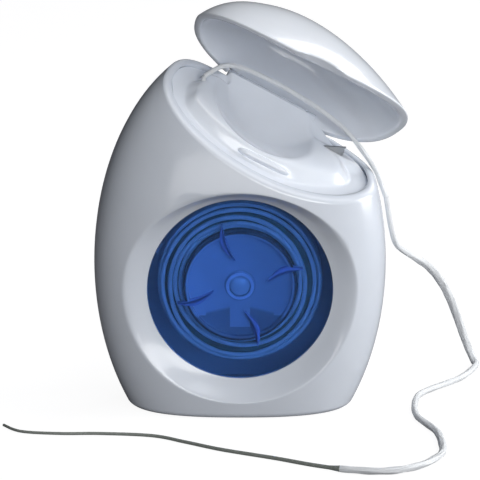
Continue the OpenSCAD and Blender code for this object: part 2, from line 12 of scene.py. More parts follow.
import bpy
import numpy as np
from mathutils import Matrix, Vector


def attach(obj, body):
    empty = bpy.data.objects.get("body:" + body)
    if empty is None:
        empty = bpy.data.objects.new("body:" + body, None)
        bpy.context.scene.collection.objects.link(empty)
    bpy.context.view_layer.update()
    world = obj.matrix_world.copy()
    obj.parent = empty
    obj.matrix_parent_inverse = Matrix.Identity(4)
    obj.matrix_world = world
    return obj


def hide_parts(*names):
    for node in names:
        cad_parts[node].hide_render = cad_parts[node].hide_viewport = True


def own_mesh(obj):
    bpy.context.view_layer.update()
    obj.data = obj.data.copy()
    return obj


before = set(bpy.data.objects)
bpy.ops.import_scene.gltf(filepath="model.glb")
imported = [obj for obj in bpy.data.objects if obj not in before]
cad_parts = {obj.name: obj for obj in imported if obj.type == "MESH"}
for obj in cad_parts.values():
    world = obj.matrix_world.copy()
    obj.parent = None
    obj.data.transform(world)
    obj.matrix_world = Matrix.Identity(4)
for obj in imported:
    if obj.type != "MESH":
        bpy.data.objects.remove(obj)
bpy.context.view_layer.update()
LOG = logging.getLogger("dispenser")
MM = 0.001
TURN = 2 * math.pi
Pair = tuple[np.ndarray, np.ndarray]
Section = Callable[[np.ndarray, np.ndarray], Pair]


class Body(Enum):
    """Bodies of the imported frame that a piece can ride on."""

    CASE = "case"
    LID = "lid"
    SPOOL = "spool"


# Surfaces on a grid.


@dataclass
class Patch:
    """A stretch of surface: its points and the faces between them."""

    points: np.ndarray
    faces: list


def grid(*axes: np.ndarray) -> np.ndarray:
    """Coordinates that broadcast together, side by side on a new last axis."""
    return np.stack(np.broadcast_arrays(*axes), axis=-1)


def round_angles(count: int) -> np.ndarray:
    """Evenly spaced angles once round."""
    return np.linspace(0, TURN, count, endpoint=False)


def turned(p: np.ndarray, q: np.ndarray, angle: float) -> Pair:
    """A pair of coordinates turned by an angle."""
    c, s = np.cos(angle), np.sin(angle)
    return c * p - s * q, s * p + c * q


def distances(path: np.ndarray) -> np.ndarray:
    """Distance from a path's start to each of its points."""
    return np.concatenate([[0], np.cumsum(np.linalg.norm(np.diff(path, axis=0), axis=1))])


def join(*patches: Patch) -> Patch:
    """Put patches side by side in one list of points and faces.

    Args:
        patches: the patches.

    Returns:
        One patch.
    """
    start, faces = 0, []
    for patch in patches:
        faces += [[i + start for i in f] for f in patch.faces]
        start += len(patch.points)
    return Patch(np.vstack([patch.points for patch in patches]), faces)


def sweep(rows: np.ndarray, loop: bool = False, caps: bool = False, flip: bool = False) -> Patch:
    """Faces between neighbouring rows of a grid of points whose last column joins the first.

    Args:
        rows: grid of points, rows by columns by three.
        loop: joins the last row to the first.
        caps: closes the first and the last row with a fan to its middle.
        flip: turns the faces over.

    Returns:
        The patch.
    """
    n, m = rows.shape[:2]
    i, j = np.arange(n if loop else n - 1)[:, None], np.arange(m)
    k, after = (j + 1) % m, (i + 1) % n * m
    faces = np.stack([i * m + j, i * m + k, after + k, after + j], axis=-1).reshape(-1, 4).tolist()
    points = rows.reshape(-1, 3)
    if caps:
        faces += grid(n * m, k, j).tolist() + grid(n * m + 1, (n - 1) * m + j, (n - 1) * m + k).tolist()
        points = np.vstack([points, rows[0].mean(0), rows[-1].mean(0)])
    return Patch(points, [f[::-1] for f in faces] if flip else faces)


def smooth_min(a: np.ndarray, b: np.ndarray, k: float) -> np.ndarray:
    """The lower of two heights, rounded over a band k wide where they cross."""
    h = np.clip(0.5 + 0.5 * (b - a) / k, 0, 1)
    return b + (a - b) * h - k * h * (1 - h)


def ease(t: np.ndarray) -> np.ndarray:
    """Smooth step from 0 to 1."""
    t = np.clip(t, 0, 1)
    return t * t * (3 - 2 * t)


def quadratic(a: np.ndarray, b: np.ndarray, c: np.ndarray, t: np.ndarray) -> np.ndarray:
    """The quadratic curve from a to c that is drawn towards b."""
    return (1 - t) ** 2 * a + 2 * t * (1 - t) * b + t * t * c


def catmull(points: np.ndarray, steps: int) -> np.ndarray:
    """Smooth curve through points: the cubic whose slope at a point is half the step across it.

    Args:
        points: the points that the curve passes through.
        steps: how many stretches there are between two neighbours.

    Returns:
        The points of the curve.
    """
    p = np.asarray(points, float)
    q = np.vstack([p[:1], p, p[-1:]])
    t = (np.arange(steps) / steps)[None, :, None]
    a, b, c, d = (q[k:len(q) - 3 + k][:, None, :] for k in range(4))
    out = 0.5 * (2 * b + (c - a) * t + (2 * a - 5 * b + 4 * c - d) * t**2 + (3 * b - a - 3 * c + d) * t**3)
    return np.vstack([out.reshape(-1, p.shape[1]), p[-1:]])


def rounded_profile(corners: list, radius: float) -> np.ndarray:
    """Corners of a profile with each inner one rounded by a quadratic arc.

    Args:
        corners: the profile's corners in order.
        radius: how far from a corner its rounding starts, at most 0.4 of the side.

    Returns:
        The rounded profile.
    """
    p = np.asarray(corners, float)
    t, out = np.linspace(0, 1, 5)[:, None], []
    for a, b, c in zip(p[:-2], p[1:-1], p[2:]):
        start, end = (b + u / np.linalg.norm(u) * min(radius, np.linalg.norm(u) * 0.4) for u in (a - b, c - b))
        out.append(quadratic(start, b, end, t))
    return np.vstack([p[:1], *out, p[-1:]])


def bisected(inside: Callable[[np.ndarray], np.ndarray], lo: np.ndarray,
             hi: np.ndarray) -> np.ndarray:
    """Where a condition that holds at the start of each stretch stops holding, by halving.

    Args:
        inside: function of an array of places, one a stretch, that tells where the condition holds.
        lo: start of each stretch.
        hi: end of each stretch.

    Returns:
        One place a stretch.
    """
    for _ in range(36):
        m = (lo + hi) / 2
        ok = inside(m)
        lo, hi = np.where(ok, m, lo), np.where(ok, hi, m)
    return (lo + hi) / 2


def rising(a: np.ndarray, reach: int) -> np.ndarray:
    """Angles round a closed loop made to rise all the way: between their running limits, then averaged.

    Args:
        a: the angles, once round.
        reach: how many neighbours on each side are averaged.

    Returns:
        The rising angles.
    """
    n = len(a)
    b = np.concatenate([a - TURN, a, a + TURN])
    b = (np.maximum.accumulate(b) + np.minimum.accumulate(b[::-1])[::-1]) / 2 + np.arange(3 * n) * 1e-6
    return np.convolve(b, np.full(2 * reach + 1, 1 / (2 * reach + 1)), mode="same")[n:2 * n]


def put(name: str, data: bpy.types.ID) -> bpy.types.Object:
    """A new object of the scene that shows some data.

    Args:
        name: the object's name.
        data: what it shows.

    Returns:
        The object.
    """
    made = bpy.data.objects.new(name, data)
    bpy.context.scene.collection.objects.link(made)
    return made


def carve(patch: Patch, cutters: list) -> Patch:
    """Cut closed patches out of a closed patch with a Boolean.

    Args:
        patch: what is cut.
        cutters: what is taken away.

    Returns:
        The patch that is left.
    """
    parts = []
    for part in (patch, *cutters):
        mesh = bpy.data.meshes.new("for_cut")
        mesh.from_pydata(part.points.tolist(), [], part.faces)
        parts.append(put("for_cut", mesh))
    for tool in parts[1:]:
        cut = parts[0].modifiers.new("cut", "BOOLEAN")
        cut.operation, cut.solver, cut.object = "DIFFERENCE", "EXACT", tool
    done = parts[0].evaluated_get(bpy.context.evaluated_depsgraph_get()).to_mesh()
    points = np.empty(len(done.vertices) * 3)
    done.vertices.foreach_get("co", points)
    faces = [list(f.vertices) for f in done.polygons]
    for part in parts:
        mesh = part.data
        bpy.data.objects.remove(part)
        bpy.data.meshes.remove(mesh)
    return Patch(points.reshape(-1, 3), faces)


def make_piece(name: str, patch: Patch, body: Body, material: bpy.types.Material, node: str,
               crease: float = 50) -> bpy.types.Object:
    """Turn a patch into a piece of the scene.

    Args:
        name: the piece's name.
        patch: its points, in millimetres, and faces.
        body: the body that it rides on.
        material: its finish.
        node: the CAD node that it stands for.
        crease: faces that meet at more than this many degrees keep a sharp edge.

    Returns:
        The new object.
    """
    mesh = bpy.data.meshes.new(name)
    mesh.from_pydata((patch.points * MM).tolist(), [], patch.faces)
    mesh.validate()
    mesh.polygons.foreach_set("use_smooth", [True] * len(mesh.polygons))
    mesh.set_sharp_from_angle(angle=math.radians(crease))
    mesh.materials.append(material)
    piece = put(name, mesh)
    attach(piece, body.value)
    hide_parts(node)
    LOG.info("%s: %d points, rides on %s", name, len(mesh.vertices), body.value)
    return piece


def second_finish(piece: bpy.types.Object, material: bpy.types.Material, first: int,
                  last: float = math.inf) -> None:
    """Give a second finish to the faces from first up to, but without, last.

    Args:
        piece: the object.
        material: the second finish.
        first: number of the first face.
        last: number of the face after the last.
    """
    index = np.arange(len(piece.data.polygons))
    piece.data.materials.append(material)
    piece.data.polygons.foreach_set("material_index", ((index >= first) & (index < last)).astype(np.int32))


def lay_uv(piece: bpy.types.Object, uv_at: Callable[[np.ndarray], Pair]) -> None:
    """Lay the UV map that the fibres follow.

    Args:
        piece: the object.
        uv_at: function of the points' numbers that gives U in millimetres, and V.
    """
    mesh = piece.data
    index = np.empty(len(mesh.loops), np.int32)
    mesh.loops.foreach_get("vertex_index", index)
    layer = mesh.uv_layers.new(name="along")
    layer.data.foreach_set("uv", grid(*uv_at(index)).astype(np.float32).ravel())


# Finishes.


@dataclass
class Nodes:
    """A node tree that is being filled."""

    tree: bpy.types.NodeTree

    def fill(self, node: bpy.types.Node, inputs: dict) -> bpy.types.Node:
        """Give a node's inputs their values, or link other nodes' outputs to them.

        Args:
            node: the node.
            inputs: value or other node's output for each input.

        Returns:
            The node.
        """
        for name, value in inputs.items():
            if isinstance(value, bpy.types.NodeSocket):
                self.tree.links.new(value, node.inputs[name])
            else:
                node.inputs[name].default_value = value
        return node

    def add(self, kind: str, inputs: dict, **settings: object) -> bpy.types.Node:
        """Add a shader node with its settings and inputs.

        Args:
            kind: the node's type, without its prefix.
            inputs: as for fill.
            settings: the node's own properties.

        Returns:
            The node.
        """
        node = self.tree.nodes.new("ShaderNode" + kind)
        for name, value in settings.items():
            setattr(node, name, value)
        return self.fill(node, inputs)

    def math(self, operation: str, *values: object) -> bpy.types.NodeSocket:
        """The result of a Math node."""
        return self.add("Math", dict(enumerate(values)), operation=operation).outputs[0]

    def product(self, *values: object) -> bpy.types.NodeSocket:
        """All the values multiplied.

        Args:
            values: numbers or outputs.

        Returns:
            The output that holds the product.
        """
        out = values[0]
        for value in values[1:]:
            out = self.math("MULTIPLY", out, value)
        return out

    def rise(self, value: bpy.types.NodeSocket, start: float, end: float) -> bpy.types.NodeSocket:
        """Smooth step from 0 at start to 1 at end."""
        inputs = {"Value": value, "From Min": start, "From Max": end}
        return self.add("MapRange", inputs, interpolation_type="SMOOTHSTEP").outputs["Result"]

    def band(self, value: bpy.types.NodeSocket, a: float, b: float, c: float, d: float) -> bpy.types.NodeSocket:
        """A band that rises from a to b and falls from c to d."""
        return self.product(self.rise(value, a, b), self.rise(value, d, c))

    def between(self, value: bpy.types.NodeSocket, low: float, high: float) -> bpy.types.NodeSocket:
        """A value from 0 to 1 spread between two others."""
        return self.add("MapRange", {"Value": value, "To Min": low, "To Max": high}).outputs["Result"]

    def noise(self, where: bpy.types.NodeSocket, **sizes: float) -> bpy.types.NodeSocket:
        """The grey value of a Noise Texture."""
        return self.add("TexNoise", {"Vector": where, **sizes}).outputs["Fac"]

    def bump(self, **inputs: object) -> bpy.types.NodeSocket:
        """The normal of a Bump node."""
        return self.add("Bump", inputs).outputs["Normal"]


def new_finish(name: str) -> tuple[bpy.types.Material, Nodes, bpy.types.Node]:
    """A material, its nodes and its Principled shader.

    Args:
        name: the material's name.

    Returns:
        The material, its nodes and its shader.
    """
    material = bpy.data.materials.new(name)
    material.use_nodes = True
    return material, Nodes(material.node_tree), material.node_tree.nodes["Principled BSDF"]


def new_group(name: str, inputs: dict, outputs: dict) -> tuple[Nodes, bpy.types.Node, bpy.types.Node]:
    """A node group with its input and its output node.

    Args:
        name: the group's name.
        inputs: socket names and their kinds, Vector or Float.
        outputs: the same for the outputs.

    Returns:
        The group's nodes, its input node and its output node.
    """
    tree = bpy.data.node_groups.new(name, "ShaderNodeTree")
    for way, sockets in (("INPUT", inputs), ("OUTPUT", outputs)):
        for socket, kind in sockets.items():
            tree.interface.new_socket(socket, in_out=way, socket_type="NodeSocket" + kind)
    return Nodes(tree), tree.nodes.new("NodeGroupInput"), tree.nodes.new("NodeGroupOutput")


def moulded_surface_group() -> bpy.types.NodeTree:
    """Node group for moulded plastic: a soft waviness, fine grain and a slight change of gloss and tint.

    Returns:
        The group.
    """
    nodes, given, made = new_group("moulded_surface", {"Vector": "Vector", "Grain": "Float"},
                                   {"Normal": "Vector", "Gloss change": "Float", "Tint": "Float"})
    wave, grain, blotch = (nodes.noise(given.outputs["Vector"], Scale=scale, Detail=detail)
                           for scale, detail in ((90, 1), (2600, 2), (160, 3)))
    first = nodes.bump(Strength=0.05, Distance=0.0004, Height=wave)
    second = nodes.bump(Strength=given.outputs["Grain"], Distance=0.00003, Height=grain, Normal=first)
    nodes.fill(made, {"Normal": second, "Gloss change": nodes.between(blotch, -0.03, 0.05),
                      "Tint": nodes.between(blotch, 0.97, 1.03)})
    return nodes.tree


def fibre_group() -> bpy.types.NodeTree:
    """Node group for a bundle of fine fibres that run along the U of the piece's own UV map.

    Returns:
        The group.
    """
    nodes, given, made = new_group("fibre_bundle", {"Stretch": "Vector"},
                                   {"Normal": "Vector", "Shade": "Float"})
    noise = nodes.noise(given.outputs["Stretch"], Scale=1, Detail=4, Roughness=0.7)
    shade = nodes.add("MapRange", {"From Min": 0.3, "From Max": 0.7, "Value": noise}).outputs["Result"]
    nodes.fill(made, {"Normal": nodes.bump(Strength=0.7, Distance=0.00006, Height=noise), "Shade": shade})
    return nodes.tree


def webs_and_painted_shade_group() -> bpy.types.NodeTree:
    """Node group for translucent plastic over ribs, with a colour factor of painted light and shade.

    Painted shade darkens the hub's wall and the lower part, which stays lighter over the ribs behind; a
    painted highlight lightens the collar, painted shade darkens the collar's foot, and painted light
    makes it a little lighter on the left. Its numbers are metres from the spindle.

    Returns:
        The group.
    """
    nodes, given, made = new_group("webs_behind_and_painted_shade", {"Vector": "Vector"}, {"Shade": "Float"})
    split = nodes.add("SeparateXYZ", {0: given.outputs["Vector"]})
    x, z = split.outputs["X"], nodes.math("SUBTRACT", split.outputs["Z"], WINDOW.z * MM)
    r = nodes.math("SQRT", nodes.math("ADD", nodes.product(x, x), nodes.product(z, z)))
    side = nodes.math("ABSOLUTE", x)
    # Painted shade: darker low down, except where the ribs lie behind.
    low = nodes.rise(nodes.math("ADD", z, nodes.product(side, 0.25)), -0.0036, -0.0046)
    middle = nodes.product(nodes.rise(side, 0.0021, 0.0019), nodes.rise(z, -0.0088, -0.0086))
    outer = nodes.product(nodes.band(side, 0.0066, 0.0069, 0.0082, 0.0085), nodes.rise(z, -0.0064, -0.0062))
    dark = nodes.product(low, nodes.math("SUBTRACT", 1.0, nodes.math("MAXIMUM", middle, outer)))
    # Painted shade at the hub's wall and at the collar's foot, painted highlight on the collar.
    wall = nodes.band(r, 0.0106, 0.0109, 0.0113, 0.0116)
    collar, foot = nodes.band(r, 0.0021, 0.0023, 0.0028, 0.0029), nodes.band(r, 0.0028, 0.0029, 0.0031, 0.0032)
    # Painted light: a little lighter on the left; it turns with the spool.
    left = nodes.rise(x, 0.011, -0.011)
    amounts = ((dark, -0.5, 1.0), (wall, -0.93, 1.0), (collar, 0.5, 1.0), (foot, -0.2, 1.0), (left, 0.34, 0.8))
    nodes.fill(made, {"Shade": nodes.product(*(nodes.math("MULTIPLY_ADD", *amount) for amount in amounts))})
    return nodes.tree


MOULDED = moulded_surface_group()
FIBRES = fibre_group()


@dataclass(frozen=True)
class Plastic:
    """Moulded plastic: its colour, gloss and how much light passes into it."""

    name: str
    color: tuple
    roughness: float
    grain: float = 0.02
    milky: float = 0.0
    clear: float = 0.0
    coat: float = 0.0
    coat_blur: float = 0.04
    ior: float = 1.5
    # Multiplies the colour by painted light and shade over the spool's front, lighter over the ribs behind.
    webs_and_painted_shade: bool = False

    def build(self) -> bpy.types.Material:
        """Make the material.

        Returns:
            The material.
        """
        material, nodes, shader = new_finish(self.name)
        where = nodes.add("TexCoord", {}).outputs["Object"]
        surface = nodes.add("Group", {"Grain": self.grain, "Vector": where}, node_tree=MOULDED).outputs
        tint = surface["Tint"]
        # Painted light and shade on the spool's front.
        if self.webs_and_painted_shade:
            webs_and_painted_shade = nodes.add("Group", {"Vector": where}, node_tree=webs_and_painted_shade_group())
            tint = nodes.product(tint, webs_and_painted_shade.outputs["Shade"])
        color = nodes.add("VectorMath", {0: self.color, "Scale": tint}, operation="SCALE").outputs["Vector"]
        nodes.fill(shader, {
            "Base Color": color, "Roughness": nodes.math("ADD", surface["Gloss change"], self.roughness),
            "Normal": surface["Normal"], "IOR": self.ior, "Transmission Weight": self.clear,
            "Subsurface Weight": self.milky, "Subsurface Radius": (0.0011, 0.001, 0.0009),
            "Coat Weight": self.coat, "Coat Roughness": self.coat_blur})
        return material


@dataclass(frozen=True)
class Steel:
    """Bright spring steel with a fine grind along its length."""

    name: str = "bright_steel"
    color: tuple = (0.33, 0.34, 0.35)

    def build(self) -> bpy.types.Material:
        """Make the material.

        Returns:
            The material.
        """
        material, nodes, shader = new_finish(self.name)
        where = nodes.add("Mapping", {"Vector": nodes.add("TexCoord", {}).outputs["Object"],
                                      "Rotation": (0, math.radians(-20), 0), "Scale": (400, 6000, 6000)})
        noise = nodes.noise(where.outputs["Vector"], Scale=1)
        nodes.fill(shader, {"Base Color": (*self.color, 1), "Metallic": 1,
                            "Roughness": nodes.between(noise, 0.22, 0.42),
                            "Normal": nodes.bump(Strength=0.25, Distance=0.00002, Height=noise)})
        return material


@dataclass(frozen=True)
class Fibre:
    """Spun fibre: lighter ridges over darker grooves that follow the piece's own UV map."""

    name: str
    light: tuple
    dark: tuple
    across: float
    along: float
    roughness: float = 0.6

    def build(self) -> bpy.types.Material:
        """Make the material.

        Returns:
            The material.
        """
        material, nodes, shader = new_finish(self.name)
        uv = nodes.add("UVMap", {}, uv_map="along").outputs["UV"]
        stretch = nodes.add("Mapping", {"Vector": uv, "Scale": (self.along, self.across, 1)}).outputs["Vector"]
        bundle = nodes.add("Group", {"Stretch": stretch}, node_tree=FIBRES).outputs
        mix = nodes.add("Mix", {"A": (*self.dark, 1), "B": (*self.light, 1), "Factor": bundle["Shade"]},
                        data_type="RGBA")
        nodes.fill(shader, {"Base Color": mix.outputs["Result"], "Normal": bundle["Normal"],
                            "Roughness": self.roughness, "Sheen Weight": 0.25, "Sheen Roughness": 0.4})
        return material


# The case's form.


@dataclass(frozen=True)
class CaseForm:
    """The egg that case and lid share, and the slanted opening that parts them."""

    width: float = 58
    depth: float = 28
    belly: float = 29
    crown: float = 45
    plan_n: float = 2.5
    wall: float = 1.6
    base_round: float = 1.2
    rim_round: float = 0.9
    deck_z: float = 58.3
    fall: float = 0.675
    curl: float = 0.0088
    lean: float = 0.557
    twist: float = 0.0101

    def share(self, z: np.ndarray, inset: np.ndarray) -> np.ndarray:
        """How far z lies from the widest section, as a share of the height to the crown."""
        return np.minimum(1, np.abs(z - self.belly) / (self.crown - inset))

    def half_w(self, z: np.ndarray, inset: np.ndarray = 0) -> np.ndarray:
        """Half the width: the half width at the belly times the root of one less the share squared."""
        return (self.width / 2 - inset) * np.sqrt(1 - self.share(z, inset) ** 2)

    def half_d(self, z: np.ndarray, inset: np.ndarray = 0) -> np.ndarray:
        """Half the depth, with the power 0.4 in place of the root."""
        return (self.depth / 2 - inset) * (1 - self.share(z, inset) ** 2) ** 0.4

    def skin(self, a: np.ndarray, z: np.ndarray, inset: np.ndarray = 0) -> np.ndarray:
        """Points of the skin: a superellipse of half_w by half_d in plan at height z.

        Args:
            a: angle round the plan, in radians.
            z: height.
            inset: distance inside the outer skin.

        Returns:
            Points, last axis x, y, z.
        """
        x, y = (half * np.sign(v) * np.abs(v) ** (2 / self.plan_n)
                for half, v in ((self.half_w(z, inset), np.cos(a)), (self.half_d(z, inset), np.sin(a))))
        return grid(x, y, z)

    def skin_y(self, x: np.ndarray, z: np.ndarray, inset: np.ndarray = 0) -> np.ndarray:
        """Distance of the skin from the middle plane at x and z."""
        t = np.clip(1 - np.abs(x / np.maximum(self.half_w(z, inset), 1e-6)) ** self.plan_n, 0, 1)
        return self.half_d(z, inset) * t ** (1 / self.plan_n)

    def deck_at(self, x: np.ndarray, y: np.ndarray) -> np.ndarray:
        """Height of the slanted opening: a plane with a curl along x and a twist."""
        return self.deck_z - self.fall * x + self.curl * x * x + (self.lean - self.twist * x) * y

    def slope_at(self, x: float, y: float) -> float:
        """Slope of the opening along x."""
        return -self.fall + 2 * self.curl * x - self.twist * y

    def raised(self, x: np.ndarray, h: np.ndarray) -> np.ndarray:
        """Height over the opening: what stands up gets lower towards the right end by a smooth step."""
        return np.where(np.asarray(h) > 0, h * (1 - 0.45 * ease((x - 6) / 16)), h)

    def rim_z(self, a: np.ndarray, inset: np.ndarray, h: np.ndarray) -> np.ndarray:
        """Height at which the skin at one angle crosses the opening raised by h.

        Args:
            a: angle round the plan.
            inset: distance inside the outer skin.
            h: height over the opening.

        Returns:
            The heights.
        """
        inset, a, h = np.broadcast_arrays(np.asarray(inset, float), np.asarray(a, float), np.asarray(h, float))

        def below(z: np.ndarray) -> np.ndarray:
            """Whether the skin at height z is still below the opening."""
            p = self.skin(a, z, inset)
            return z < self.deck_at(p[..., 0], p[..., 1]) + self.raised(p[..., 0], h)

        return bisected(below, np.full(a.shape, float(self.belly)), self.belly + self.crown - inset)

    def rim(self, a: np.ndarray, inset: np.ndarray, h: np.ndarray) -> np.ndarray:
        """Points of the rim curve at angles a, inside the skin by inset and raised by h."""
        return self.skin(a, self.rim_z(a, inset, h), np.asarray(inset, float))

    def base_inset(self, z: np.ndarray) -> np.ndarray:
        """Quarter-round at the base, as an inset that grows from 0 at base_round to base_round at 0."""
        t = np.clip(1 - z / self.base_round, 0, 1)
        return self.base_round * (1 - np.sqrt(1 - t * t))


@dataclass(frozen=True)
class HingeForm:
    """The slanted axis that the lid turns on."""

    x: float = 6
    y: float = 8.91621
    z: float = 60.5928
    tilt: float = math.radians(28.7)
    knuckle_l: float = 15
    knuckle_d: float = 2.6
    ear_t: float = 2
    clear: float = 0.3
    swing_r: float = 2.42

    @property
    def reach(self) -> float:
        """Half the length from the outside of one ear to that of the other."""
        return self.knuckle_l / 2 + self.clear + self.ear_t

    def over(self, x: np.ndarray) -> Pair:
        """Height of the axis at x, and how far along the axis that is."""
        return self.z - (x - self.x) * math.tan(self.tilt), (x - self.x) / math.cos(self.tilt)

    def local(self, p: np.ndarray) -> np.ndarray:
        """Coordinates along the axis, to the back and square to both."""
        u, w = turned(p[..., 0] - self.x, p[..., 2] - self.z, self.tilt)
        return grid(u, p[..., 1] - self.y, w)

    def world(self, q: np.ndarray) -> np.ndarray:
        """Row coordinates of a point given along the axis, to the back and square to both."""
        x, z = turned(q[..., 0], q[..., 2], -self.tilt)
        return grid(x + self.x, q[..., 1] + self.y, z + self.z)

    def swung(self, p: np.ndarray, degrees: float) -> np.ndarray:
        """Points turned about the axis, positive from closed to open."""
        q = self.local(p)
        return self.world(grid(q[..., 0], *turned(q[..., 1], q[..., 2], math.radians(-degrees))))

    def rod(self, d: float, half: float) -> Patch:
        """A rod on the axis with rounded ends.

        Args:
            d: its diameter.
            half: half its length.

        Returns:
            The patch.
        """
        u, r = rounded_profile([[-half, 0], [-half, d / 2], [half, d / 2], [half, 0]], 0.12).T[..., None]
        a = round_angles(40)
        return sweep(self.world(grid(u, r * np.cos(a), r * np.sin(a))), caps=True)


@dataclass(frozen=True)
class WindowForm:
    """The round opening, its seat and its flared surround."""

    r: float = 18.25
    z: float = 26
    y: float = 9
    seat_r: float = 19.95
    frame_r: float = 21.15
    side: tuple = (3.9, 1.7)
    up: tuple = (2.0, 4.2)
    down: tuple = (3.6, 3.2)
    bend: float = 1.3
    crest: float = 2.2

    def pick(self, a: np.ndarray, i: int) -> np.ndarray:
        """One of the flare's two sizes at an angle: sideways by cosine squared, up or down by sine squared."""
        s = np.sin(a)
        return self.side[i] * np.cos(a) ** 2 + np.where(s > 0, self.up[i], self.down[i]) * s * s

    def flare(self, x: np.ndarray, z: np.ndarray) -> np.ndarray:
        """Depth of the flare's surface in front of the middle plane.

        With b the bend, the radius grows with depth d as g(1 - exp(-b d/D))/(1 - exp(-b)), turned
        round here for d.

        Args:
            x: distance to the right.
            z: height.

        Returns:
            The depths.
        """
        r, a = np.hypot(x, z - self.z), np.arctan2(z - self.z, x)
        t = np.clip((r - self.r) * (1 - math.exp(-self.bend)) / self.pick(a, 0), 0, 0.9995)
        return self.y - np.log(1 - t) / self.bend * self.pick(a, 1)


FORM = CaseForm()
HINGE = HingeForm()
WINDOW = WindowForm()


def revolved(r: np.ndarray, y: np.ndarray, a: np.ndarray, loop: bool = False) -> Patch:
    """Surface of revolution about the spindle.

    Args:
        r: radius of each row. A radius of 0 at an end closes it.
        y: depth of each row.
        a: angle of each column.
        loop: joins the last row to the first.

    Returns:
        The closed patch.
    """
    return sweep(grid(r * np.cos(a), y, WINDOW.z + r * np.sin(a)), loop=loop, caps=not loop)


class Half(Enum):
    """Which of the two shells."""

    FRONT = -1
    REAR = 1


class Edge(Enum):
    """The stretches of a shell's outline, in their order."""

    UNDERSIDE = 0
    RIGHT = 1
    RIM = 2
    LEFT = 3


@dataclass
class CaseShell:
    """One shell of the case: a closed wall between a middle and the shell's outline.

    Each column runs from its point of the middle to its point of the outline, out over the skin,
    over the edge of the wall and back inside.
    """

    half: Half
    middle_z: float
    middle_r: float
    columns: tuple = (110, 120, 210, 110)
    pull_reach: tuple = (5.0, 7.0)
    pull_fan: float = math.radians(9)

    def around(self) -> np.ndarray:
        """Angles along the rim, closer together at both of its ends."""
        t = np.linspace(0, 1, self.columns[Edge.RIM.value])
        return self.half.value * np.pi * (t - 0.3 * np.sin(TURN * t) / np.pi)

    def outline(self, inset: float, h: float, foot: float) -> Pair:
        """The shell's outline, seen square on.

        Args:
            inset: distance inside the outer skin.
            h: height of the rim over the opening.
            foot: height of the underside. The outer skin, at 0, is rounded at the base.

        Returns:
            The points, and for each the value of its Edge.
        """
        def flank(sign: int, share: np.ndarray) -> np.ndarray:
            """One side at shares of the height from the foot to the rim.

            Args:
                sign: 1 for the right side, -1 for the left.
                share: shares of the height.

            Returns:
                Points of the side.
            """
            top = FORM.rim(np.array(0.0 if sign > 0 else math.pi), inset, h)[2]
            z = foot + (top - foot) * share**1.3
            return grid(sign * FORM.half_w(z, inset + (0 if foot else FORM.base_inset(z))), 0, z)

        base = inset + (0 if foot else FORM.base_round)
        x = -FORM.half_w(float(foot), base) * np.cos(np.pi * np.linspace(0.004, 0.996, self.columns[0]))
        stretches = (grid(x, self.half.value * FORM.skin_y(x, foot, base), foot),
                     flank(1, np.linspace(0, 1, self.columns[1] + 1)[:-1]),
                     FORM.rim(self.around(), inset, h),
                     flank(-1, np.linspace(1, 0, self.columns[3] + 1)[1:]))
        return np.vstack(stretches), np.repeat([edge.value for edge in Edge], self.columns)

    def edge_rows(self, outer: np.ndarray, inner: np.ndarray, kind: np.ndarray) -> np.ndarray:
        """Rows over the edge of the wall: the rim's rounding, the flat parting face or the underside.

        Args:
            outer: the outline on the outer skin.
            inner: the outline on the inner skin.
            kind: the kind of edge at each point.

        Returns:
            Rows of points.
        """
        on_rim, under = kind == Edge.RIM.value, kind == Edge.UNDERSIDE.value
        around = np.zeros(len(outer))
        around[on_rim] = self.around()
        profile = [(FORM.rim_round * (1 - math.cos(t)), -FORM.rim_round * (1 - math.sin(t)))
                   for t in np.linspace(0, math.pi / 2, 8)[1:]]
        profile += [(FORM.wall - 0.15, 0.0), (FORM.wall, -0.15), (FORM.wall, -0.6)]
        rows, count = [], len(profile)
        for k, (inset, h) in enumerate(profile):
            plain = outer + (inner - outer) * (k + 1) / (count + 1)
            inwards, back = min(1, (k + 1) / (count - 4)), max(0, (k - count + 3) / 3)
            plain[under, 0] = (outer if k < count - 3 else inner)[under, 0]
            plain[under, 1] = outer[under, 1] * (1 - inwards) + inner[under, 1] * back
            plain[under, 2] = FORM.wall * min(1, max(0, (k - count + 5) / 2))
            rows.append(np.where(on_rim[:, None], FORM.rim(around, inset, h), plain))
        return np.array(rows)

    def pulled(self, outer: np.ndarray, kind: np.ndarray) -> Pair:
        """Where the front's columns that end near a corner of the rim are drawn to, so that none cross.

        Args:
            outer: the outline on the outer skin.
            kind: the kind of edge at each point.

        Returns:
            The shift from each end to the point it is drawn to, and how strongly, from 0 to 1.
        """
        s, flat = distances(outer), outer[:, [0, 2]]
        shift, pull = np.zeros_like(flat), np.zeros(len(flat))
        if self.half is Half.REAR:
            return shift, pull
        for corner, side, reach in zip(np.flatnonzero(kind == Edge.RIM.value)[[0, -1]], (1, -1), self.pull_reach):
            ahead = np.roll(flat, -1, axis=0) - flat
            away = np.where((np.arange(len(flat)) < corner)[:, None], -np.roll(ahead, 1, axis=0), ahead)
            away /= np.linalg.norm(away, axis=1, keepdims=True)
            far = s - s[corner]
            fan = side * np.sign(far) * self.pull_fan * np.abs(far) / (np.abs(far) + 1)
            near = np.exp(-(far / (reach + 1)) ** 2)
            shift += (near * reach)[:, None] * grid(*turned(away[:, 0], away[:, 1], fan))
            pull = np.maximum(pull, near)
        return shift, pull

    def relief(self, p: np.ndarray) -> np.ndarray:
        """Keep clear the space that the lid's back wall swings through.

        Args:
            p: points of the shell.

        Returns:
            The points, moved out of the lid's way.
        """
        if self.half is Half.FRONT:
            return p
        q = HINGE.local(p)
        v, w = q[..., 1], q[..., 2]
        hit = (np.abs(q[..., 0]) < HINGE.reach + 6) & (np.hypot(v, w) < HINGE.swing_r) & (v > 0.2)
        q[..., 2] = np.where(hit, -np.sqrt(np.maximum(HINGE.swing_r**2 - v * v, 0)), w)
        return HINGE.world(q)

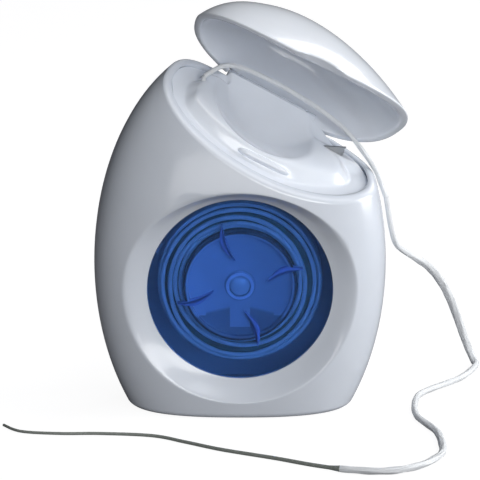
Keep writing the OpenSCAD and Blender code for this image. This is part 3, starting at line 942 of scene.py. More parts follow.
    def build(self) -> Patch:
        """Outer skin, edge and inner skin as one closed grid.

        Returns:
            The closed shell.
        """
        front = self.half is Half.FRONT
        outer, kind = self.outline(0, -FORM.rim_round, 0)
        inner, _ = self.outline(FORM.wall, -1.6, FORM.wall)
        rim, rim_inside = outer[:, [0, 2]], inner[:, [0, 2]]
        shift, pull = self.pulled(outer, kind)
        a = rising(np.unwrap(np.arctan2(rim[:, 1] + shift[:, 1] - self.middle_z, rim[:, 0] + shift[:, 0])), 18)

        def ring(r: float, middle_z: float) -> np.ndarray:
            """X and Z of a circle's points at the columns' angles."""
            return grid(r * np.cos(a), middle_z + r * np.sin(a))

        core = ring(self.middle_r, self.middle_z)
        straight = (core + rim) / 2
        drawn = straight + pull[:, None] * (rim + shift / np.maximum(pull, 1e-9)[:, None] - straight)

        def place(share: np.ndarray) -> Pair:
            """X and Z at shares of the way along the curve from the middle to the outline."""
            p = quadratic(core, drawn, rim, share[..., None])
            return p[..., 0], p[..., 1]

        def below_skin(share: np.ndarray) -> np.ndarray:
            """Whether the flare lies inside the skin at these shares of the way out."""
            x, z = place(share)
            return WINDOW.flare(x, z) < FORM.skin_y(x, z, FORM.base_inset(z))

        if front:
            meet = np.minimum(bisected(below_skin, np.zeros(len(a)), np.ones(len(a))), 0.97)
            t = np.linspace(0, 1, 62)[1:, None]
            share = np.vstack([meet * np.linspace(0, 1, 36)[:, None] ** 0.9,
                               meet + (1 - meet) * (0.35 * t + 0.65 * (1 - (1 - t) ** 2.4))])
        else:
            t = np.linspace(0, 1, 90)[1:, None]
            share = (0.4 * t + 0.6 * (1 - (1 - t) ** 2.4)) + 0 * a
        x, z = place(share)
        depth = FORM.skin_y(x, z, FORM.base_inset(z))
        depth[-1] = np.abs(outer[:, 1])
        if front:
            blend = np.minimum(WINDOW.crest, 0.2 + 30 * (1 - share))
            depth = np.where(share > 0.999, depth, smooth_min(depth, WINDOW.flare(x, z), blend))
        end = ring(WINDOW.frame_r, WINDOW.z) if front else core
        q = rim_inside + (end - rim_inside) * (np.linspace(0, 1, 28) ** 1.7)[:, None, None]
        rows = [grid(x, self.half.value * depth, z), self.edge_rows(outer, inner, kind),
                grid(q[..., 0], self.half.value * FORM.skin_y(q[..., 0], q[..., 1], FORM.wall), q[..., 1])]
        if front:
            for r, y in ((WINDOW.frame_r, 6.8), (WINDOW.seat_r, 6.8), (WINDOW.seat_r, 8.2), (WINDOW.r, 8.2),
                         (WINDOW.r, 8.85)):
                p = ring(r, self.middle_z)
                rows.append(grid(p[:, 0], -y, p[:, 1])[None])
        return sweep(self.relief(np.concatenate(rows)), loop=front, caps=not front, flip=not front)


@dataclass
class Spindle:
    """The post moulded on the rear shell, with its domed tip."""

    r: float = 2
    tip: float = -6.9
    dome: float = 0.7
    shoulder_r: float = 4
    shoulder_y: float = 5.75
    end: float = 13

    def build(self) -> Patch:
        """Profile turned about the spindle's axis.

        Returns:
            The patch.
        """
        t = np.linspace(0, math.pi / 2, 9)
        post = [[self.r, self.shoulder_y], [self.shoulder_r, self.shoulder_y],
                [self.shoulder_r, self.end], [0, self.end]]
        profile = np.vstack([grid(self.r * np.sin(t), self.tip + self.dome * (1 - np.cos(t))), post])
        return revolved(*profile.T[..., None], round_angles(64))


@dataclass
class DeckPlate:
    """The slanted top moulding: ledge, upstand, finger scoop, snap bead, outlet and hinge ridge."""

    upstand_h: float = 2.2
    upstand_in: float = 3.9
    scoop_x: float = 4.8
    scoop_y: float = 1.8
    scoop_h: float = 3.0
    scoop_r: float = 10.6
    lip_up: float = 1.3
    trough_r: float = 1.62
    skirt_h: float = 2.4
    plate_t: float = 1.25
    cutter_at: tuple = (18.2, 2.2)
    pocket: tuple = (2.9, 1.55)
    bore_r: float = 0.9
    bead_x: float = 4.6
    bead_half: float = 5.6
    bead_r: float = 0.78
    bowl_blend: float = 0.45
    ridge_blend: float = 2.4
    ridge_edge: float = 1.95
    ridge_drop: float = 9.6
    ridge_run: float = 4.2
    columns: int = 520

    def place(self, x: float, y: float, h: float, q: np.ndarray) -> np.ndarray:
        """Points given along the deck, up its slope to the back and square to it, from a place raised by h.

        Args:
            x: where the place is, to the right.
            y: where it is, to the back.
            h: its height over the opening.
            q: points given from there.

        Returns:
            Their row coordinates.
        """
        slope = FORM.slope_at(x, y)
        along = np.array([1, 0, slope]) / math.hypot(1, slope)
        normal = np.cross(along, [0, 1, FORM.lean - FORM.twist * x])
        normal /= np.linalg.norm(normal)
        start = np.array([x, y, float(FORM.deck_at(x, y)) + h])
        return start + q[..., :1] * along + q[..., 1:2] * np.cross(normal, along) + q[..., 2:] * normal

    def at_cutter(self, q: np.ndarray) -> np.ndarray:
        """Points given from the cutter's place on top of the upstand."""
        x, y = self.cutter_at
        return self.place(x, y, float(FORM.raised(x, self.upstand_h)), q)

    def shaped(self, p: np.ndarray) -> np.ndarray:
        """Lower the scoop into the deck and raise the ridge in front of the knuckle.

        Args:
            p: points of the plate's top.

        Returns:
            The points at their final heights.
        """
        x, y, z = p[..., 0], p[..., 1], p[..., 2]
        ball = (self.scoop_r**2 + self.scoop_h**2) / (2 * self.scoop_h)
        above = np.array([[0, 0, ball - self.scoop_h]])
        centre = self.place(self.scoop_x, self.scoop_y, self.upstand_h - 0.2, above)[0]
        rho = np.hypot(x - centre[0], y - centre[1])
        bowl = np.where(rho < ball * 0.98, centre[2] - np.sqrt(np.maximum(ball * ball - rho * rho, 0.01)), 1e3)
        z = np.where(z - bowl > -2, smooth_min(z, bowl, self.bowl_blend), z)
        axis_z, u = HINGE.over(x)
        u, v, stretch = np.abs(u), y - HINGE.y, 1 / math.cos(HINGE.tilt)
        lip = self.lip_up * (1 - ease((u - HINGE.knuckle_l / 2 - 1) / 1.8))
        top = axis_z + (lip - 0.3 * np.maximum(u - HINGE.reach - 0.6, 0) ** 1.7) * stretch
        far = np.maximum(-self.ridge_edge - v, 0)
        front = top - self.ridge_drop * (1 - np.exp(-far / self.ridge_run)) - 0.06 * far**2
        ridge = np.where(v < -1.8, front, np.where(v < -1.6, top - 3 * (v + 1.8) / 0.2, -1e3))
        z = np.where(ridge > z - 4, -smooth_min(-z, -ridge, self.ridge_blend), z)
        trough = (np.abs(v) < self.trough_r) & (u < HINGE.reach + 0.4)
        floor = axis_z - np.sqrt(np.maximum(self.trough_r**2 - v * v, 0)) * stretch
        return grid(x, y, np.where(trough, np.minimum(z, floor), z))

    def plate(self) -> Patch:
        """Rings from the skirt over the ledge and the upstand to the middle, shaped afterwards.

        Behind the right end the ledge is filled by a ramp that runs up to the top of the upstand.

        Returns:
            The closed plate.
        """
        a = round_angles(self.columns)
        knots = np.array([(1.65, -1.05), (1.9, -0.9), (2.8, -0.9), (3.5, -0.9), (3.85, -0.82), (4.02, -0.5),
                          (4.18, 0.1), (4.36, 0.9), (4.55, 1.55), (4.85, 1.95), (5.3, 2.14), (5.9, 2.2),
                          (6.6, 2.2), (7.3, 2.2)])
        turn = np.degrees(a)
        filled = ease((turn - 2) / 16) * ease((72 - turn) / 16)
        spread = 1 + 0.75 * ease((-np.cos(a) - 0.55) / 0.4) + 0.6 * ease((np.cos(a) - 0.2) / 0.6)
        rows = []
        for inset, h in catmull(knots, 6):
            ramp = -0.25 + (self.upstand_h + 0.25) * float(ease((inset - 1.9) / 3.3))
            h = h + filled * max(ramp - h, 0) * float(ease((inset - 1.75) / 0.3))
            rows.append(FORM.rim(a, np.where(inset > 2.2, 2.2 + (inset - 2.2) * spread, inset), h))
        edge, middle = rows[-1], np.array([self.scoop_x, self.scoop_y, 0])
        for t in 1 - (1 - np.linspace(0, 1, 76)[1:-1]) ** 1.15:
            p = edge * (1 - t) + middle * t
            p[:, 2] = FORM.deck_at(p[:, 0], p[:, 1]) + FORM.raised(p[:, 0], self.upstand_h)
            rows.append(p)
        top = self.shaped(np.array(rows))
        below = top[14:] - [0, 0, self.plate_t]
        skirt = [[FORM.rim(a, inset, -self.skirt_h)] for inset in (2.9, 1.65)]
        return sweep(np.concatenate([below[::-1], *skirt, top]), caps=True)

    def openings(self) -> list:
        """What is cut out of the plate: the cutter's pocket and the bore along the rising floss.

        Returns:
            The cutters.
        """
        corners = np.array([(1, 1), (-1, 1), (-1, -1), (1, -1)]) * self.pocket
        pocket = self.at_cutter(np.array([[(u, v, w) for u, v in corners] for w in (-2.2, 1.5)]))
        a, outlet = round_angles(40), np.array(Floss.OUTLET)
        run = outlet - np.array(Floss.LEAD[-2])
        run /= np.linalg.norm(run)
        ring = self.bore_r * grid(np.cos(a), np.sin(a), 0)
        bore = np.array([ring + outlet + run * k for k in (-5, 3)])
        return [sweep(rows, caps=True, flip=True) for rows in (pocket, bore)]

    def bead(self) -> Patch:
        """Snap bead: a rod with ball ends that swells towards its middle, on the front of the upstand.

        Returns:
            The patch.
        """
        x = self.bead_x
        y = -float(FORM.skin_y(x, FORM.deck_at(x, -FORM.depth / 3))) + self.upstand_in + 0.4
        t, a = np.linspace(-1, 1, 61)[:, None], round_angles(32)
        r = self.bead_r * np.sqrt(np.maximum(1 - np.abs(t) ** 5, 0))
        return sweep(self.place(x, y, 0.55, grid(self.bead_half * t, r * np.cos(a), 0.95 * r * np.sin(a))), caps=True)

    def ears(self) -> list:
        """The two hinge ears: slabs with a round top on the axis.

        Returns:
            Two patches.
        """
        out, a = [], np.linspace(0, math.pi, 19)
        r = HINGE.knuckle_d / 2
        line = np.vstack([grid(r * np.cos(a), r * np.sin(a)), [[-r, -1.2], [-r, -2.5], [0.6, -2.5], [r, -1.2]]])
        for lo in (-HINGE.reach, HINGE.reach - HINGE.ear_t):
            hi, small = lo + HINGE.ear_t, 1 - 0.1 / r
            layers = ((lo, small), (lo + 0.1, 1), (hi - 0.1, 1), (hi, small))
            rows = np.array([grid(u, *(line * s).T) for u, s in layers])
            out.append(sweep(HINGE.world(rows), caps=True, flip=True))
        return out

    def build(self) -> Patch:
        """The plate with its openings cut, the bead and the ears."""
        return join(carve(self.plate(), self.openings()), self.bead(), *self.ears())


@dataclass
class LidShell:
    """The domed cap, drawn closed and swung open."""

    wall: float = 1.5
    gap: float = 0.3
    open_angle: float = 62
    scallop_x: float = 3.4
    scallop_r: float = 8
    trunnion_d: float = 1.4
    columns: int = 480

    def edge_h(self, a: np.ndarray) -> np.ndarray:
        """Height of the lower edge over the rim: the gap, and the axis where the hinge is.

        Args:
            a: angle round the plan.

        Returns:
            The heights, before they are lowered to the right.
        """
        x, y, _ = FORM.rim(a, 0.6, self.gap).T
        axis_z, u = HINGE.over(x)
        u = np.abs(u)
        lift = np.maximum(axis_z - FORM.deck_at(x, y), self.gap)
        ear = 1.75 * np.clip((u - HINGE.knuckle_l / 2) / 0.05, 0, 1)
        at_hinge = (y > 3) & (u < HINGE.reach + HINGE.clear)
        return np.where(at_hinge, (lift + ear) / np.maximum(FORM.raised(x, 1.0), 0.2), self.gap)

    def dished(self, p: np.ndarray, grow: float, soft: float = 1.1) -> np.ndarray:
        """Push points that lie in the thumb scallop's ball out to its surface, over a soft band.

        Args:
            p: points of the cap.
            grow: what is added to the ball's radius.
            soft: width of the soft band.

        Returns:
            The points, moved.
        """
        y = -float(FORM.skin_y(self.scallop_x, FORM.deck_at(self.scallop_x, -FORM.depth / 3)))
        offset = np.array([[0, -self.scallop_r * 0.62, -self.scallop_r * 0.42]])
        centre = DeckPlate().place(self.scallop_x, y, 0, offset)[0]
        far, r = np.linalg.norm(p - centre, axis=-1, keepdims=True), self.scallop_r + grow
        h = np.clip(0.5 + 0.5 * (r - far) / soft, 0, 1)
        want = far + (r - far) * h + soft * h * (1 - h) * 0.5
        return centre + (p - centre) / far * np.maximum(want, far)

    def build(self) -> Patch:
        """Inner skin, rounded edge and outer skin as one closed grid, turned to its open place.

        Returns:
            The cap in its open place.
        """
        a = round_angles(self.columns)
        h = self.edge_h(a)

        def dome(inset: float, count: int, grow: float) -> np.ndarray:
            """Rows of one skin, from over its edge nearly to the crown.

            Args:
                inset: distance inside the outer skin.
                count: rows up to the crown.
                grow: as for dished.

            Returns:
                Rows of points.
            """
            low, top = FORM.rim_z(a, inset, h + 0.5), FORM.belly + FORM.crown - inset
            rows = [FORM.skin(a, low + (top - low) * math.sin(math.pi / 2 * t), inset)
                    for t in np.linspace(0, 1, count)[:-1]]
            return self.dished(np.array(rows), grow)

        edge = [self.dished(FORM.rim(a, inset, h + up), 0.15 + inset * 0.75)
                for inset, up in ((1.45, 0.25), (1.25, 0.07), (1.0, 0.0), (0.6, 0.0), (0.3, 0.06), (0.08, 0.25))]
        shell = sweep(np.concatenate([dome(self.wall, 48, 1.15)[::-1], edge, dome(0, 56, 0)]), caps=True)
        knuckle = HINGE.rod(HINGE.knuckle_d, HINGE.knuckle_l / 2)
        whole = join(shell, knuckle, HINGE.rod(self.trunnion_d, HINGE.reach - 0.8))
        return Patch(HINGE.swung(whole.points, self.open_angle), whole.faces)


def lens_disc() -> Patch:
    """The clear disc in the window, stepped to its seat."""
    corners = [[0, -8.9], [18.2, -8.9], [18.2, -8.2], [19.9, -8.2], [19.9, -7.3], [0, -7.3]]
    return revolved(*rounded_profile(corners, 0.14).T[..., None], round_angles(200))


@dataclass
class SpoolForm:
    """The blue spool: cup-fronted hub, back flange, collar, ribs and four curved fins."""

    front: float = -6.9
    cup_floor: float = -5.7
    back: float = 5.3
    hub_r: float = 11.2
    hub_wall: float = 0.9
    flange_r: float = 16.8
    collar_r: float = 2.8
    bore_r: float = 2.06
    ribs: int = 6
    fins: int = 4
    fin_turn: float = math.radians(16)

    def body(self) -> Patch:
        """Hub, cup floor, collar and flange: one ring profile turned about the spindle.

        Returns:
            The closed ring.
        """
        r, inside, nose, floor = self.hub_r, self.hub_r - self.hub_wall, self.front + 0.2, self.cup_floor
        corners = [[self.bore_r, nose], [self.collar_r, nose], [self.collar_r, floor], [inside, floor],
                   [inside, self.front], [r, self.front], [r, self.back - 1], [self.flange_r, self.back - 1],
                   [self.flange_r, self.back], [inside, self.back], [inside, floor + 1], [self.collar_r, floor + 1],
                   [self.collar_r, self.back], [self.bore_r, self.back], [self.bore_r, nose]]
        return revolved(*rounded_profile(corners, 0.16)[:-1].T[..., None], round_angles(180), loop=True)

    def layered(self, layers: list, turn: float) -> Patch:
        """A closed slab from outlines in the spool's plane, each with its depth, turned about the spindle.

        Args:
            layers: an outline and its depth for each layer.
            turn: angle about the spindle.

        Returns:
            The patch.
        """
        rows = []
        for line, y in layers:
            x, z = turned(line[:, 0], line[:, 1], turn)
            rows.append(grid(x, y, WINDOW.z + z))
        return sweep(np.array(rows), caps=True)

    def fin(self, turn: float) -> Patch:
        """A crescent from near the collar out over the winding: widest past its middle, bowed sideways.

        Args:
            turn: angle about the spindle.

        Returns:
            The patch.
        """
        t = np.linspace(0, 1, 26)
        mid = grid(5.3 + 7.6 * t, 0.9 * np.sin(np.pi * t) - 0.5 * (1 - t))
        half = grid(0, np.maximum(0.07, 0.68 * np.sin(np.pi * t**1.2)))
        lo = self.front - 0.2
        crown = ((lo, 0.12), (lo + 0.04, 0.45), (lo + 0.13, 0.75), (lo + 0.3, 0.95), (lo + 0.5, 1),
                 (self.cup_floor + 0.4, 1))
        return self.layered([(np.vstack([mid + half * s, (mid - half * s)[::-1]]), y) for y, s in crown], turn)

    def rib(self, turn: float) -> Patch:
        """A flat web from the collar to the hub, behind the cup's floor.

        Args:
            turn: angle about the spindle.

        Returns:
            The patch.
        """
        line = np.array([[2.6, -0.5], [10.6, -0.5], [10.6, 0.5], [2.6, 0.5]])
        centre, lo, hi = line.mean(0), self.cup_floor + 0.5, self.back
        levels = ((lo, 0.93), (lo + 0.12, 1), (hi - 0.12, 1), (hi, 1))
        return self.layered([(centre + (line - centre) * s, y) for y, s in levels], turn)

    def build(self) -> tuple[Patch, int, int]:
        """Hub, fins and ribs as one patch.

        Returns:
            The patch, the number of the fins' first face and that of the face after their last.
        """
        body = self.body()
        fins = [self.fin(self.fin_turn + TURN * k / self.fins) for k in range(self.fins)]
        ribs = [self.rib(TURN / 4 + TURN * k / self.ribs) for k in range(self.ribs)]
        first = len(body.faces)
        return join(body, *fins, *ribs), first, first + sum(len(fin.faces) for fin in fins)


def tube(path: np.ndarray, section: Section, sides: int) -> Patch:
    """Tube along a path with a section that may change along and round it.

    Args:
        path: points of the path.
        section: function of the distance along the path and the angle round it, both grids, that gives
            the sideways and upward offsets from the path.
        sides: points round the tube.

    Returns:
        The patch.
    """
    d = np.gradient(path, axis=0)
    d /= np.linalg.norm(d, axis=1, keepdims=True)
    side = np.empty_like(d)
    side[0] = np.cross(d[0], [0, 0, 1] if abs(d[0][2]) < 0.9 else [0, 1, 0])
    for i in range(1, len(d)):
        side[i] = side[i - 1] - d[i] * (side[i - 1] @ d[i])
        side[i] /= np.linalg.norm(side[i])
    side[0] /= np.linalg.norm(side[0])
    across, above = section(distances(path)[:, None], round_angles(sides)[None, :])
    rows = path[:, None] + across[..., None] * side[:, None] + above[..., None] * np.cross(side, d)[:, None]
    return sweep(rows, caps=True, flip=True)


class Floss:
    """The floss: what is wound on the spool, what rises to the outlet and what lies free."""

    LEAD_R = 0.43
    TURN_R = 0.44
    OVER_R = 0.5
    OUTLET = (-7, 1.4, 66.535)
    LEAD = ((-16.65, 1.4, 30.46), (-12.6, 1.4, 44.5), (-9.6, 1.4, 55), (-7.9, 1.4, 61), OUTLET)
    OVER = (OUTLET, (-3.4, 3, 68.2), (0, 4, 67.8), (6, 5, 65), (12, 5.5, 61.5), (17, 5.4, 58.2),
            (21, 5, 54.8), (24.4, 4, 50.8), (27, 2.6, 47), (29, 2, 42))
    STRAND = ((29, 2, 42), (30.4, 3.2, 34.6), (31.6, 5.4, 31.2), (33.8, 8, 28.8), (39.4, 13, 23.8),
              (43.8, 18.4, 16), (47.4, 23, 6.2), (48.8, 23.6, 2.8), (49.6, 22.4, 1), (49.6, 19.4, 0.7),
              (45.6, 11.6, 0.7), (38.2, 3.8, 0.7), (35.6, -1.2, 0.7), (35, -11, 0.7), (38.2, -20.2, 0.7),
              (38.6, -29.6, 0.7), (37.2, -33.8, 0.7), (33.8, -38, 0.7), (28, -41, 0.7), (20.4, -40.4, 0.7),
              (14.4, -37.6, 0.4), (6, -33.2, 0.3), (-3.4, -29, 0.3), (-10.6, -24.8, 0.3), (-17, -21.4, 0.3),
              (-27, -20.2, 0.3), (-35, -20.2, 0.3), (-42.6, -19, 0.3), (-46.4, -15.4, 0.3))
    WIDTHS = ((0, 0.5), (12, 0.56), (17, 0.6), (22, 0.84), (40, 0.84), (52, 0.76), (62, 0.6), (84, 0.6),
              (100, 0.68), (118, 0.8), (124, 0.86), (131, 0.9), (136, 0.66), (139, 0.4), (220, 0.25))
    WAXED_FROM = 136.5

    def __init__(self) -> None:
        """Make the finishes of the floss."""
        self.white = Fibre("waxed_fibre", (0.9, 0.92, 0.94), (0.74, 0.77, 0.8), 26, 0.7).build()
        self.thin = Fibre("waxed_end", (0.3, 0.32, 0.3), (0.16, 0.18, 0.16), 12, 1.4, 0.4).build()
        self.wound = Fibre("wound_fibre", (0.97, 0.98, 0.98), (0.56, 0.64, 0.66), 9, 0.22).build()
        self.under = Fibre("wound_fibre_in_shade", (0.1, 0.2, 0.13), (0.03, 0.08, 0.05), 60, 0.15).build()

    def along(self, name: str, path: np.ndarray, section: Section, sides: int, body: Body,
              material: bpy.types.Material, node: str) -> bpy.types.Object:
        """Make a piece of floss along a path and lay its UV map.

        Args:
            name: the piece's name.
            path: points of its middle.
            section: as for tube.
            sides: points round it.
            body: the body that holds it.
            material: its finish.
            node: the CAD node that it stands for.

        Returns:
            The object.
        """
        piece = make_piece(name, tube(path, section, sides), body, material, node)
        last, length = len(path) - 1, distances(path)[-1]

        def uv_at(i: np.ndarray) -> Pair:
            """Distance along the piece, and a V that falls from 1 to 0 and rises again round it."""
            return np.minimum(i // sides, last) / last * length, np.abs(2 * (i % sides) / sides - 1)

        lay_uv(piece, uv_at)
        return piece

    def cord(self, name: str, path: np.ndarray, section: Section, sides: int, node: str,
             **facts: object) -> bpy.types.Object:
        """Make a loose length of white floss.

        Args:
            name: the piece's name.
            path: points of its middle.
            section: as for tube.
            sides: points round it.
            node: the CAD node that it stands for.
            facts: not used.

        Returns:
            The object.
        """
        piece = self.along(name, path, section, sides, Body.CASE, self.white, node)
        return piece

    def wind(self) -> None:
        """Strands over the front of the wound floss and round it, loose and uneven, and the core below them."""
        steps, pitch, face_y, back_y, drum_r, face_r, turn_r = 72, 1.417, -4.55, 3.5, 16.04, 11.95, 1.6
        face_run, edge_run = drum_r - turn_r - face_r, turn_r * math.pi / 2
        turns = (face_run + edge_run + back_y - face_y - turn_r) / pitch
        k = np.arange(-steps, int(turns * steps) + 1)
        a, s = TURN * k / steps, pitch * np.maximum(k, 0) / steps
        on_edge = np.clip((s - face_run) / turn_r, 0, math.pi / 2)
        r = np.where(s < face_run, face_r + s, drum_r - turn_r + turn_r * np.sin(on_edge))
        y = np.where(s < face_run, face_y, face_y + turn_r - turn_r * np.cos(on_edge))
        y = y + np.maximum(s - face_run - edge_run, 0)
        wander = np.clip(s, 0, 1) * np.clip((face_run + 0.6 - s) / 0.8, 0, 1)
        first = ease(-k / 12)
        r = r + wander * (0.34 * np.sin(a * 0.63 + 0.6) + 0.26 * np.sin(a * 2.37 + 1.2)) - 0.1 * first
        y = y + 0.4 * first - wander * (0.06 + 0.16 * ease((r - 12.6) / 1.2)) * (1 + np.sin(a * 1.7))

        def section(s: np.ndarray, a: np.ndarray) -> Pair:
            """Round, with soft lobes that twist slowly along the strand."""
            w = self.TURN_R * (1 + 0.07 * np.cos(5 * a + s * 0.5) + 0.05 * np.sin(s * 0.9))
            return w * np.cos(a), w * np.sin(a)

        path = grid(r * np.cos(a), y, WINDOW.z + r * np.sin(a))
        self.along("wound_strands", path, section, 14, Body.SPOOL, self.wound, "floss_winding")
        corners = [[11.25, -4.1], [14.3, -4.1], [15.4, -3.0], [15.4, 4.1], [11.25, 4.1], [11.25, -4.1]]
        r, y = rounded_profile(corners, 0.3)[:-1].T[..., None]
        columns = 220
        t = round_angles(columns)
        drum = revolved(r + 0.05 * np.cos(2 * y + 3 * t) * (r > 11.6), y, t, loop=True)
        core = make_piece("wound_core", drum, Body.SPOOL, self.under, "floss_core")
        lay_uv(core, lambda i: ((i % columns) / columns * 90, (i // columns) / len(r)))

    def lead(self) -> None:
        """The length that rises inside the case to the outlet."""
        def section(s: np.ndarray, a: np.ndarray) -> Pair:
            """Plain and round."""
            return self.LEAD_R * np.cos(a) + 0 * s, self.LEAD_R * np.sin(a) + 0 * s

        self.cord("floss_rising", catmull(self.LEAD, 14), section, 12, "floss_lead", diameter=0.0009,
                  far_end="object", lay="hanging")

    def over(self) -> None:
        """The length that crosses the deck."""
        path = catmull(self.OVER, 12)
        path = np.vstack([path, path[-1] + (path[-1] - path[-2]) * 0.5])

        def section(s: np.ndarray, a: np.ndarray) -> Pair:
            """A soft, slightly flat bundle with lobes that twist along it.

            Args:
                s: distance along the path.
                a: angle round it.

            Returns:
                The two offsets.
            """
            free = np.clip(np.minimum(s, s.max() - s) / 3, 0, 1)
            lobes = 1 + free * (0.09 * np.cos(4 * a + 0.8 * s) + 0.04 * np.sin(1.7 * s))
            w = np.where(s > s.max() - 0.01, self.TURN_R, self.OVER_R) * lobes
            return w * (1 + 0.06 * free) * np.cos(a), w * (1 - 0.06 * free) * np.sin(a)

        piece = self.cord("floss_across_deck", path, section, 20, "floss_over_deck", diameter=0.001,
                          far_end="object", lay="loose")
        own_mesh(piece)

    def strand(self) -> None:
        """The free length, from the deck's low end down to the surface and round to the front."""
        path, sides = catmull(self.STRAND, 14), 24

        def section(s: np.ndarray, a: np.ndarray) -> Pair:
            """A bundle that opens into fluffed lengths, with fibre ridges that twist along it.

            Args:
                s: distance along the path.
                a: angle round it.

            Returns:
                The two offsets.
            """
            w = np.interp(s, *np.array(self.WIDTHS).T)
            fluff = np.clip((w - 0.3) / 0.5, 0, 1) * np.clip(s / 3, 0, 1)
            lobes = 0.07 * np.cos(5 * a + 0.55 * s) + 0.05 * np.cos(9 * a - 0.8 * s)
            ridge = 1 + fluff * (lobes + 0.04 * np.sin(1.3 * s))
            return w * ridge * np.cos(a), np.minimum(w, 0.62) * ridge * np.sin(a)

        piece = self.cord("floss_free", path, section, sides, "floss_strand", diameter=0.0012,
                          far_end="bare", lay="loose")
        second_finish(piece, self.thin, np.searchsorted(distances(path), self.WAXED_FROM) * sides)

    def build(self) -> None:
        """Make every length of floss."""
        self.strand()
        self.over()
        self.lead()
        self.wind()


class Dispenser:
    """The hard pieces of the dispenser."""

    def __init__(self) -> None:
        """Make the finishes."""
        white = dict(grain=0.04, milky=0.1)
        glossy = dict(roughness=0.17, coat=0.5, coat_blur=0.05, **white)
        self.shell = Plastic("white_gloss_plastic", (0.73, 0.775, 0.85), 0.22, coat=0.4, coat_blur=0.1,
                             **white).build()
        # Painted light: the deck and the cap are the shell's white plastic, given lighter copies of its colour so
        # that the top reads brighter.
        self.top = Plastic("white_gloss_plastic_deck_painted_light", (0.83, 0.875, 0.95), **glossy).build()
        self.cap = Plastic("white_gloss_plastic_cap_painted_light", (0.85, 0.89, 0.96), **glossy).build()
        self.clear = Plastic("clear_blue_plastic", (0.3, 0.54, 1.0), 0.03, grain=0.0, clear=0.955,
                             ior=1.13).build()
        # The spool's blue carries painted light and shade over its front.
        self.blue = Plastic("translucent_blue_plastic", (0.56, 0.6, 0.72), 0.1, coat=0.4, webs_and_painted_shade=True).build()
        # Painted shade: the fins are the spool's own plastic, given a darker, bluer copy of its colour.
        self.fin = Plastic("translucent_blue_fin_painted_shade", (0.4, 0.42, 0.8), 0.08, coat=0.6).build()
        self.steel = Steel().build()

    def blade(self) -> Patch:
        """Cutter: a foot and an upright plate with a level top edge and fine teeth at its low end.

        Returns:
            The patch.
        """
        deck, half, up, sunk = DeckPlate(), 2.3, 2.1, 2.2
        slope = FORM.slope_at(*deck.cutter_at)
        teeth = [(half - 0.3 * (k % 2), 0.9 + 0.24 * k) for k in range(10)]
        line = np.array([(-2.55, up), (-2.55, 0), (half, 0), *teeth, (half, up - 2 * half * slope)])
        middle = line.mean(0)
        plate = []
        for v, grow in ((0.8, 0.97), (0.84, 1), (1.16, 1), (1.2, 0.97)):
            u, w = (middle + (line - middle) * grow).T
            plate.append(grid(u, v, w - sunk))
        corners = ((half, 1.2), (-half, 1.2), (-half, -1.2), (half, -1.2))
        foot = [[(u, v, w - sunk) for u, v in corners] for w in (0, 0.4)]
        return join(*(sweep(deck.at_cutter(np.array(rows)), caps=True, flip=True) for rows in (plate, foot)))

    def build(self) -> None:
        """Make every hard piece."""
        front, rear = CaseShell(Half.FRONT, WINDOW.z, WINDOW.r), CaseShell(Half.REAR, 31, 0.4)
        back = join(rear.build(), Spindle().build())
        make_piece("front_case", front.build(), Body.CASE, self.shell, "front_shell", crease=60)
        make_piece("rear_case", back, Body.CASE, self.shell, "rear_shell", crease=60)
        make_piece("deck_plate", DeckPlate().build(), Body.CASE, self.top, "deck", crease=60)
        make_piece("cap", LidShell().build(), Body.LID, self.cap, "lid", crease=60)
        make_piece("lens", lens_disc(), Body.CASE, self.clear, "window_lens", crease=40)
        spool, *fins = SpoolForm().build()
        piece = make_piece("spool_blue", spool, Body.SPOOL, self.blue, "spool", crease=40)
        # The fins get the darker copy of the spool's blue, painted shade.
        second_finish(piece, self.fin, *fins)
        make_piece("cutter_steel", self.blade(), Body.CASE, self.steel, "cutter", crease=20)


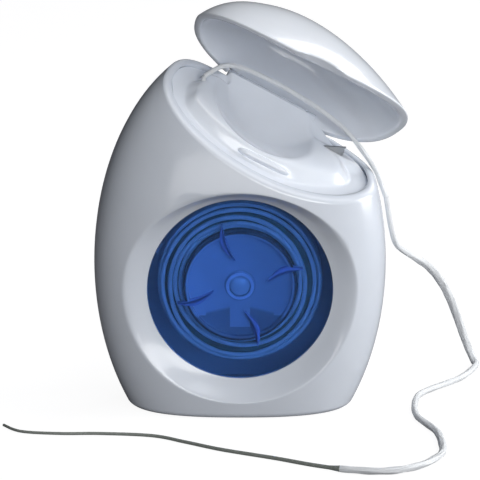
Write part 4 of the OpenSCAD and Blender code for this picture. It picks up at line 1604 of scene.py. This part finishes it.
class Studio:
    """Pale floor, soft lamps and the camera."""

    AIM = (0, 0, 0.04)
    TILT = math.radians(16)
    DISTANCE = 0.45
    FLOOR_HALF = 6.0
    FLOOR_GLOW = 0.93

    def camera(self) -> None:
        """Long lens from the front, tilted down towards the surface."""
        data = bpy.data.cameras.new("camera")
        data.lens, data.sensor_width = 169.4, 36
        data.clip_start, data.clip_end = 0.01, 20
        data.shift_y = 0.0372
        camera = put("camera", data)
        camera.location = (0, -self.DISTANCE * math.cos(self.TILT), 0.03 + self.DISTANCE * math.sin(self.TILT))
        camera.rotation_euler = (math.pi / 2 - self.TILT, 0, 0)
        bpy.context.scene.camera = camera

    def floor(self) -> None:
        """A wide pale plane that shows almost white and keeps the object's shadow."""
        mesh = bpy.data.meshes.new("floor")
        s, z = self.FLOOR_HALF, -0.0001
        mesh.from_pydata([(-s, -s, z), (s, -s, z), (s, s, z), (-s, s, z)], [], [(0, 1, 2, 3)])
        material, nodes, shader = new_finish("pale_floor")
        nodes.fill(shader, {"Base Color": (0.16, 0.16, 0.17, 1), "Roughness": 0.9, "Specular IOR Level": 0.1})
        seen = nodes.add("LightPath", {}).outputs["Is Camera Ray"]
        glow = nodes.add("Emission", {"Strength": nodes.product(seen, self.FLOOR_GLOW)})
        both = nodes.add("AddShader", {0: shader.outputs[0], 1: glow.outputs[0]})
        nodes.fill(nodes.tree.nodes["Material Output"], {"Surface": both.outputs[0]})
        mesh.materials.append(material)
        put("floor", mesh)

    def lamp(self, name: str, at: tuple, size: tuple, watts: float) -> None:
        """An area lamp that faces the object.

        Args:
            name: the lamp's name.
            at: its place, in metres.
            size: its width and height.
            watts: its power.
        """
        data = bpy.data.lights.new(name, "AREA")
        data.shape, data.size, data.size_y, data.energy = "RECTANGLE", size[0], size[1], watts
        lamp = put(name, data)
        lamp.location = at
        lamp.rotation_euler = (Vector(self.AIM) - Vector(at)).to_track_quat("-Z", "Y").to_euler()

    def build(self) -> None:
        """Camera first, then floor, lamps and world."""
        self.camera()
        self.floor()
        self.lamp("front", (0.4, -0.92, 0.35), (0.6, 0.4), 4.0)
        self.lamp("right", (0.75, 0.0, 0.25), (0.4, 0.5), 4.2)
        self.lamp("high", (0.3, -0.2, 0.75), (0.5, 0.5), 1.55)
        self.lamp("behind", (0.5, 0.5, 0.6), (0.4, 0.4), 1.4)
        self.lamp("low", (0, -0.9, 0.09), (0.8, 0.15), 1.1)
        world = bpy.data.worlds.new("studio")
        world.use_nodes = True
        sky = world.node_tree.nodes["Background"]
        sky.inputs["Color"].default_value = (0.9, 0.93, 1.0, 1)
        sky.inputs["Strength"].default_value = 0.07
        bpy.context.scene.world = world
        bpy.context.scene.view_settings.view_transform = "Standard"


def main() -> None:
    """Build the studio, the floss and the dispenser, in this order."""
    logging.basicConfig(level=logging.INFO, format="%(message)s")
    Studio().build()
    Floss().build()
    Dispenser().build()


if __name__ == "__main__":
    main()
